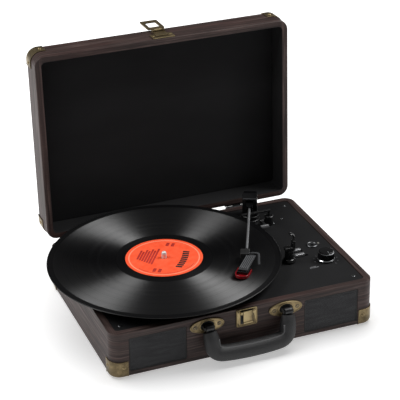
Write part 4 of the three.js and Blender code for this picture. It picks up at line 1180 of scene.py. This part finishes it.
def build_headshell():
    """Shell with raised rails, the cartridge under it and the stylus tray with its round nose."""
    z = ARM_Z - 1.8
    x = SHELL_X
    shell = block(*about(x, 6), -34, 6, z, z + 2.2, 0.9)
    for i in range(5):
        rail = about(x - 4.6 + 2.3 * i, 0.6)
        shell.join(block(*rail, -32.6, 1, z + 2.0, z + 3.4, 0.4).tinted())
    piece("headshell_plate", shell, "tonearm", [GREY, PALE], ["headshell"], matrix=SHELL)
    low, top, front = RECORD_TOP + 2.6, ARM_Z - 2.1, -38.5  # the cartridge
    body = block(*about(x, 6.9), front + 2.5, front + 18, low, top, 0.9)
    body.join(block(*about(x, 5), front + 17.5, front + 19, low + 0.6, top - 0.8, 0.4))
    piece("cartridge_body", body, "tonearm", GLOSS, ["cartridge"], matrix=SHELL)

    reach, nose, back = 8.45, front + 2, front + 14
    round_nose = [rad(-9 * i) for i in range(21)]
    edge = [(x + reach, back)]
    edge += [(x + reach * math.cos(a), nose + reach * math.sin(a)) for a in round_nose]
    edge += [(x - reach, back)]
    floor = RECORD_TOP + 1.1
    wall = [(a, b + floor + 2.1) for a, b in rounded(1.5, 4.2, 0.6, 4)]
    tray = sweep([Vector((a, b, 0)) for a, b in edge], lambda t: wall)
    base = [[(a, b, floor + h) for a, b in edge] for h in (0.0, 0.6, 1.2)]
    tray.join(Solid().loft(base))
    needle = lifted(RECORD_TOP, [(0.9, 1.3), (0.5, 0.7), (0.12, 0.32)])
    tray.join(lathe(needle, 12, x, front + 1.5))
    piece("stylus_guard", tray, "tonearm", RED, ["stylus"], matrix=SHELL)


def build_arm_rest():
    """Turned post with a cradle and the small hinged clip."""
    mid = centre("arm_rest_post")
    x, y = mid.x, mid.y
    shelf = ARM_Z - 2.2 - 0.5
    foot = [(0, 0), (8.2, 0), (8.5, 0.4), (8.5, 2.2), (8.1, 2.6), (8.0, 3.4)]
    foot += [(7.2, 4.6), (6.2, 5.2), (5.9, 6)]
    profile = lifted(edges_of("arm_rest_post")[0].z, foot)
    profile += lifted(shelf, [(5.7, -5.6), (5.4, -5), (0, -5)])
    post = lathe(profile, 40, x, y)
    post.join(block(x - 6.6, x + 7, *about(y, 4), shelf - 5.2, shelf, 1.2))
    post.join(block(x + 4, x + 7, *about(y, 4), shelf - 1.4, ARM_Z + 2, 0.8))
    clip_x, clip_z = x + 5.5, ARM_Z + 4.6
    for s in (-1, 1):
        post.join(block(*about(clip_x, 1.5), *about(y + s * 3, 1), ARM_Z + 1, clip_z + 1.4, 0.6))
    piece("arm_rest_cradle", post, "base", GLOSS, ["arm_rest_post"])
    pin = lathe([(0.7, -4.2), (1.3, -4.2), (1.4, -4.0), (0.7, -3.9), (0.7, 4)], 16)
    piece("arm_rest_pin", pin.moved(translation(clip_x, y, clip_z) @ FACE_FRONT), "base", STEEL)
    bend = [(0, 0), (0.7, 3.4), (0.6, 6.4), (-0.8, 9.2), (-3.0, 10.6), (-5.2, 10.9)]
    path = spline([Vector((clip_x + a, y, clip_z + b)) for a, b in bend], 6)

    def section(t):
        return oval(3.0 - 0.6 * t, 3.4 + 3.4 * max(0, min(1, t * 3 - 1.0)), 16)

    clip = sweep(path, section, upright=ALONG_Y)
    hub = lathe([(0.95, -1.7), (1.7, -1.7), (1.9, -1.4), (1.9, 1.4), (1.7, 1.7), (0.95, 1.7)], 24, ring=True)
    clip.join(hub.moved(translation(clip_x, y, clip_z) @ FACE_FRONT))
    piece("arm_rest_hook", clip, "rest_clip", GLOSS, ["arm_rest_clip"], sharp=60)


def build_cue():
    """Cueing lever and its housing, the lift bar and two screws of the arm's board."""
    lo, hi = edges_of("cue_housing")
    x, y = CUE_X, CUE_Y
    profile = [(2.1, DECK_TOP + 4)] + lifted(hi.z, [(2.1, 0), (5.2, 0), (5.9, -0.6), (6.1, -3)])
    profile += lifted(lo.z, [(6.2, 3), (6.5, 2.4), (6.5, 0.3), (6.2, 0), (0, 0)]) + [(0, DECK_TOP + 4)]
    body = lathe(profile, 36, x, y, ring=True)
    lever_z = DECK_TOP + 6.4
    body.join(lying(lathe([(1.1, -14.5), (1.1, -4)], 16), "X", x, y, lever_z))
    piece("cue_housing_turned", body, "base", BLACK, ["cue_housing"])
    refined("cue_lift_bar", BLACK, 0.4)
    refined("cue_lever", SILVER, 0.5, inner=(lambda p: p.y > y - 13.5, BLACK))
    for i, (dx, dy) in enumerate(((6, -1), (22, 7))):
        spot = translation(x + dx, y + dy, DECK_TOP)
        piece(f"lift_screw_{i + 1}", screw(1.7, i * 0.7), "base", [STEEL, BLACK], matrix=spot)


build_turret()
build_arm_tube()
build_headshell()
build_arm_rest()
build_cue()


# ---------------------------------------------------------------- deck controls
def build_knob():
    """Ribbed knob with a thin bright trim round its top and its foot."""
    lo, hi = edges_of("volume_knob")
    base, top = DECK_TOP + 0.6, hi.z
    profile = [(0, lo.z), (2.8, lo.z)]
    profile += lifted(base, [(2.8, 0), (11.1, 0), (11.3, 0.4), (11.3, 1.2), (10.7, 2.4), (10.6, 3.2)])
    profile += lifted(top, [(10.5, -3.4), (10.2, -3.0), (9.3, -0.6), (8.6, -0.2), (0, -0.2)])
    loops = [ribbed(r, z, 144, 0.4 * (base + 3 < z < top - 3.2), KNOB) for r, z in profile]
    piece("volume_knob_body", Solid().loft(loops), "volume", GLOSS, ["volume_knob"], sharp=35)
    foot = lifted(base, [(10.4, 1.0), (11.5, 1.0), (11.5, 1.7), (10.8, 2.5), (10.4, 2.5)])
    crown = lifted(top, [(9.9, -3.0), (10.35, -2.9), (10.1, -2.1), (9.7, -2.0)])
    rings = lathe(foot, 72, KNOB.x, KNOB.y, ring=True).join(lathe(crown, 72, KNOB.x, KNOB.y, ring=True))
    piece("volume_knob_rings", rings, "volume", CHROME)
    pointer = block(*about(KNOB.x, 0.4), KNOB.y - 7.6, KNOB.y - 4.4, top - 0.5, top - 0.1, 0.12)
    piece("volume_pointer", pointer, "volume", MARK)


def build_jack():
    """Headphone jack with its round nut, and the pilot lamp beside it."""
    nut = [(2, -11), (3.7, -11), (3.7, GAP), (7.3, GAP), (7.4, 0.6), (7.4, 1.2), (7.0, 1.7)]
    nut += [(6.4, 2.0), (5.8, 1.8), (5.2, 1.0), (2.4, 0.8), (2, 0)]
    nut = lathe(lifted(DECK_TOP, nut), 40, JACK.x, JACK.y, ring=True)
    piece("headphone_jack_nut", nut, "base", DARK_STEEL, ["headphone_jack"])
    lamp = lifted(DECK_TOP, [(1.6, 0), (1.6, 0.5), (1.2, 1.3), (0.6, 1.7), (0, 1.8)])
    lamp = lathe(lamp, 20, JACK.x + 9.6, JACK.y + 1.5)
    piece("pilot_lamp", lamp, "base", GLOW)


def build_switches():
    """Ribbed caps of the two slide switches."""
    for node, w in (("speed_switch", 13), ("autostop_switch", 8)):
        mid = centre(node)
        z = DECK_TOP
        cap = block(*about(mid.x, 2), *about(mid.y, 1.3), edges_of(node)[0].z, z + 1, 0.3)
        cap.join(block(*about(mid.x, w / 2), *about(mid.y, 2.2), z + 0.4, z + 3.6, 0.6))
        count = int(w / 1.6)
        for i in range(count):
            x = mid.x + (i - (count - 1) / 2) * 1.5
            cap.join(block(*about(x, 0.4), *about(mid.y, 1.9), z + 3.2, z + 3.95, 0.25))
        piece(node + "_cap", cap, frame["nodes"][node]["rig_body"], SILVER, [node])


def build_deck_marks():
    """Plain printed ticks beside the controls, no lettering."""
    level = (DECK_TOP - 0.05, DECK_TOP + 0.03)
    marks = Solid()
    dial_r = 14.6
    for degrees in range(-150, 120, 30):
        turn = Matrix.Rotation(rad(degrees), 4, "Z") @ translation(0, dial_r, 0)
        tick = block(-0.25, 0.25, 0, 1.8, *level, 0.02).moved(turn)
        marks.join(tick.moved(translation(KNOB.x, KNOB.y, 0)))
    marks.join(block(114.5, 127, -69.4, -68.5, *level, 0.02))
    marks.join(block(116, 124, -67, -66.3, *level, 0.02))
    piece("deck_marks", marks, "base", MARK)


def build_back():
    """Rear panel with two plain socket rings and its screws."""
    refined("rear_socket_panel", BLACK, 0.3)
    mid = centre("rear_socket_panel")
    socket_z, socket_y, screw_y = 30, BACK + 5.6, BACK - 2
    for name, dx, tone in (("left", -30, WHITE), ("right", -14, RED)):
        profile = [(1.9, 0), (3.4, 0), (3.9, 0.4), (3.9, 0.9), (1.9, 0.9)]
        ring = on_back(lathe(profile, 28, ring=True), REAR_X + dx, socket_y, socket_z)
        piece(f"rear_socket_ring_{name}", ring, "base", tone, slot="grey_plastic")
    for i, dx in enumerate((-44, 44)):
        head = on_back(screw(2.0, i), REAR_X + dx, screw_y, mid.z)
        piece(f"rear_screw_{i + 1}", head, "base", [STEEL, BLACK])


def build_hinges():
    for side, sx in SIDES.items():
        refined(f"hinge_{side}_base_leaf", BRONZE, 0.25)
        refined(f"hinge_{side}_lid_leaf", BRONZE, 0.25)
        face_y = BACK + GAP + 1.1
        screw_x, screw_z = 10, 11  # from the middle of the pin
        for s in (-1, 1):
            for level, up, body, matrix in (("low", -1, "base", STRAIGHT), ("high", 1, "lid", LID)):
                head = screw(1.8, s * 2 if up > 0 else s)
                head = on_back(head, sx * HINGE_X + s * screw_x, face_y, HINGE_Z + up * screw_z)
                name = f"hinge_screw_{side}_{side_name(s)}_{level}"
                piece(name, head, body, [BRASS, BLACK], matrix=matrix)


build_knob()
build_jack()
build_switches()
build_deck_marks()
build_back()
build_hinges()


# ---------------------------------------------------------------- setting
def make_floor():
    glow = {"Emission_Color": (1, 1, 1, 1), "Emission_Strength": 0.44}
    f = Finish("floor_paper", Specular_IOR_Level=0.2, **glow)
    cloud = f.noise(3.0, detail=3.0)
    f.set("Base Color", f.mix(cloud, (0.9, 0.9, 0.9), (0.92, 0.92, 0.92)))
    f.set("Roughness", f.spread(cloud, 0.7, 0.8))
    mesh = bpy.data.meshes.new("floor")
    half = 12.0
    corners = [(half * sx, half * sy, 0) for sx, sy in ((-1, -1), (1, -1), (1, 1), (-1, 1))]
    mesh.from_pydata(corners, [], [(0, 1, 2, 3)])
    mesh.materials.append(f.mat)
    floor = add_object("floor", mesh)
    return floor


LAMPS = {  # azimuth and elevation in degrees, distance, width and height in metres, watts
    "left_softbox": (-105, 45, 1.8, 1.4, 0.95, 25),
    "right_softbox": (82, 49, 1.8, 0.9, 0.95, 28),
    "floor_wash": (180, 90, 1.7, 3.2, 2.4, 65),
}


def area_light(name):
    azimuth, elevation, distance, wide, tall, power = LAMPS[name]
    data = bpy.data.lights.new(name, "AREA")
    data.shape = "RECTANGLE"
    data.size = wide
    data.size_y = tall
    data.energy = power
    lamp = add_object(name, data)
    a, e = rad(azimuth), rad(elevation)
    back = Vector((math.sin(a) * math.cos(e), -math.cos(a) * math.cos(e), math.sin(e)))
    lamp.location = Vector((0, 0, 0.1)) + back * distance
    lamp.rotation_mode = "QUATERNION"
    lamp.rotation_quaternion = (-back).to_track_quat("-Z", "Y")
    return lamp


def make_light(floor):
    """Two high softboxes, one on each side, and a wide wash from above that lights only the paper."""
    world = bpy.data.worlds.new("studio")
    bpy.context.scene.world = world
    world.use_nodes = True
    background = world.node_tree.nodes["Background"].inputs
    background["Color"].default_value = (1, 1, 1, 1)
    background["Strength"].default_value = 0.1
    left, right, wash = (area_light(name) for name in LAMPS)
    wash.location.y = 0.95
    for lamps, state in (((left, right), "EXCLUDE"), ((wash,), "INCLUDE")):
        paper = bpy.data.collections.new(f"paper_{state.lower()}")
        paper.objects.link(floor)
        paper.collection_objects[0].light_linking.link_state = state
        for lamp in lamps:
            lamp.light_linking.receiver_collection = paper


def make_camera():
    yaw, pitch, roll = rad(20.99), rad(26.57), rad(-0.99)
    focal, sensor, distance = 136.8, 36.0, 1984.5
    aim = Vector((MIDDLE.x + 7.3 * MM, MIDDLE.y + 42.8 * MM, 130.4 * MM))
    ahead = Vector((math.sin(yaw) * math.cos(pitch), math.cos(yaw) * math.cos(pitch), -math.sin(pitch)))
    right = ahead.cross(Vector((0, 0, 1))).normalized()
    up = right.cross(ahead)
    across = right * math.cos(roll) + up * math.sin(roll)
    above = up * math.cos(roll) - right * math.sin(roll)
    data = bpy.data.cameras.new("camera")
    data.sensor_width = sensor
    data.lens = focal
    data.clip_start, data.clip_end = 0.05, 60.0
    camera = add_object("camera", data)
    turn = Matrix((across, above, -ahead)).transposed()
    camera.matrix_world = Matrix.Translation(aim - ahead * distance * MM) @ turn.to_4x4()
    bpy.context.scene.camera = camera


make_light(make_floor())
make_camera()
bpy.context.scene.view_settings.view_transform = "Standard"
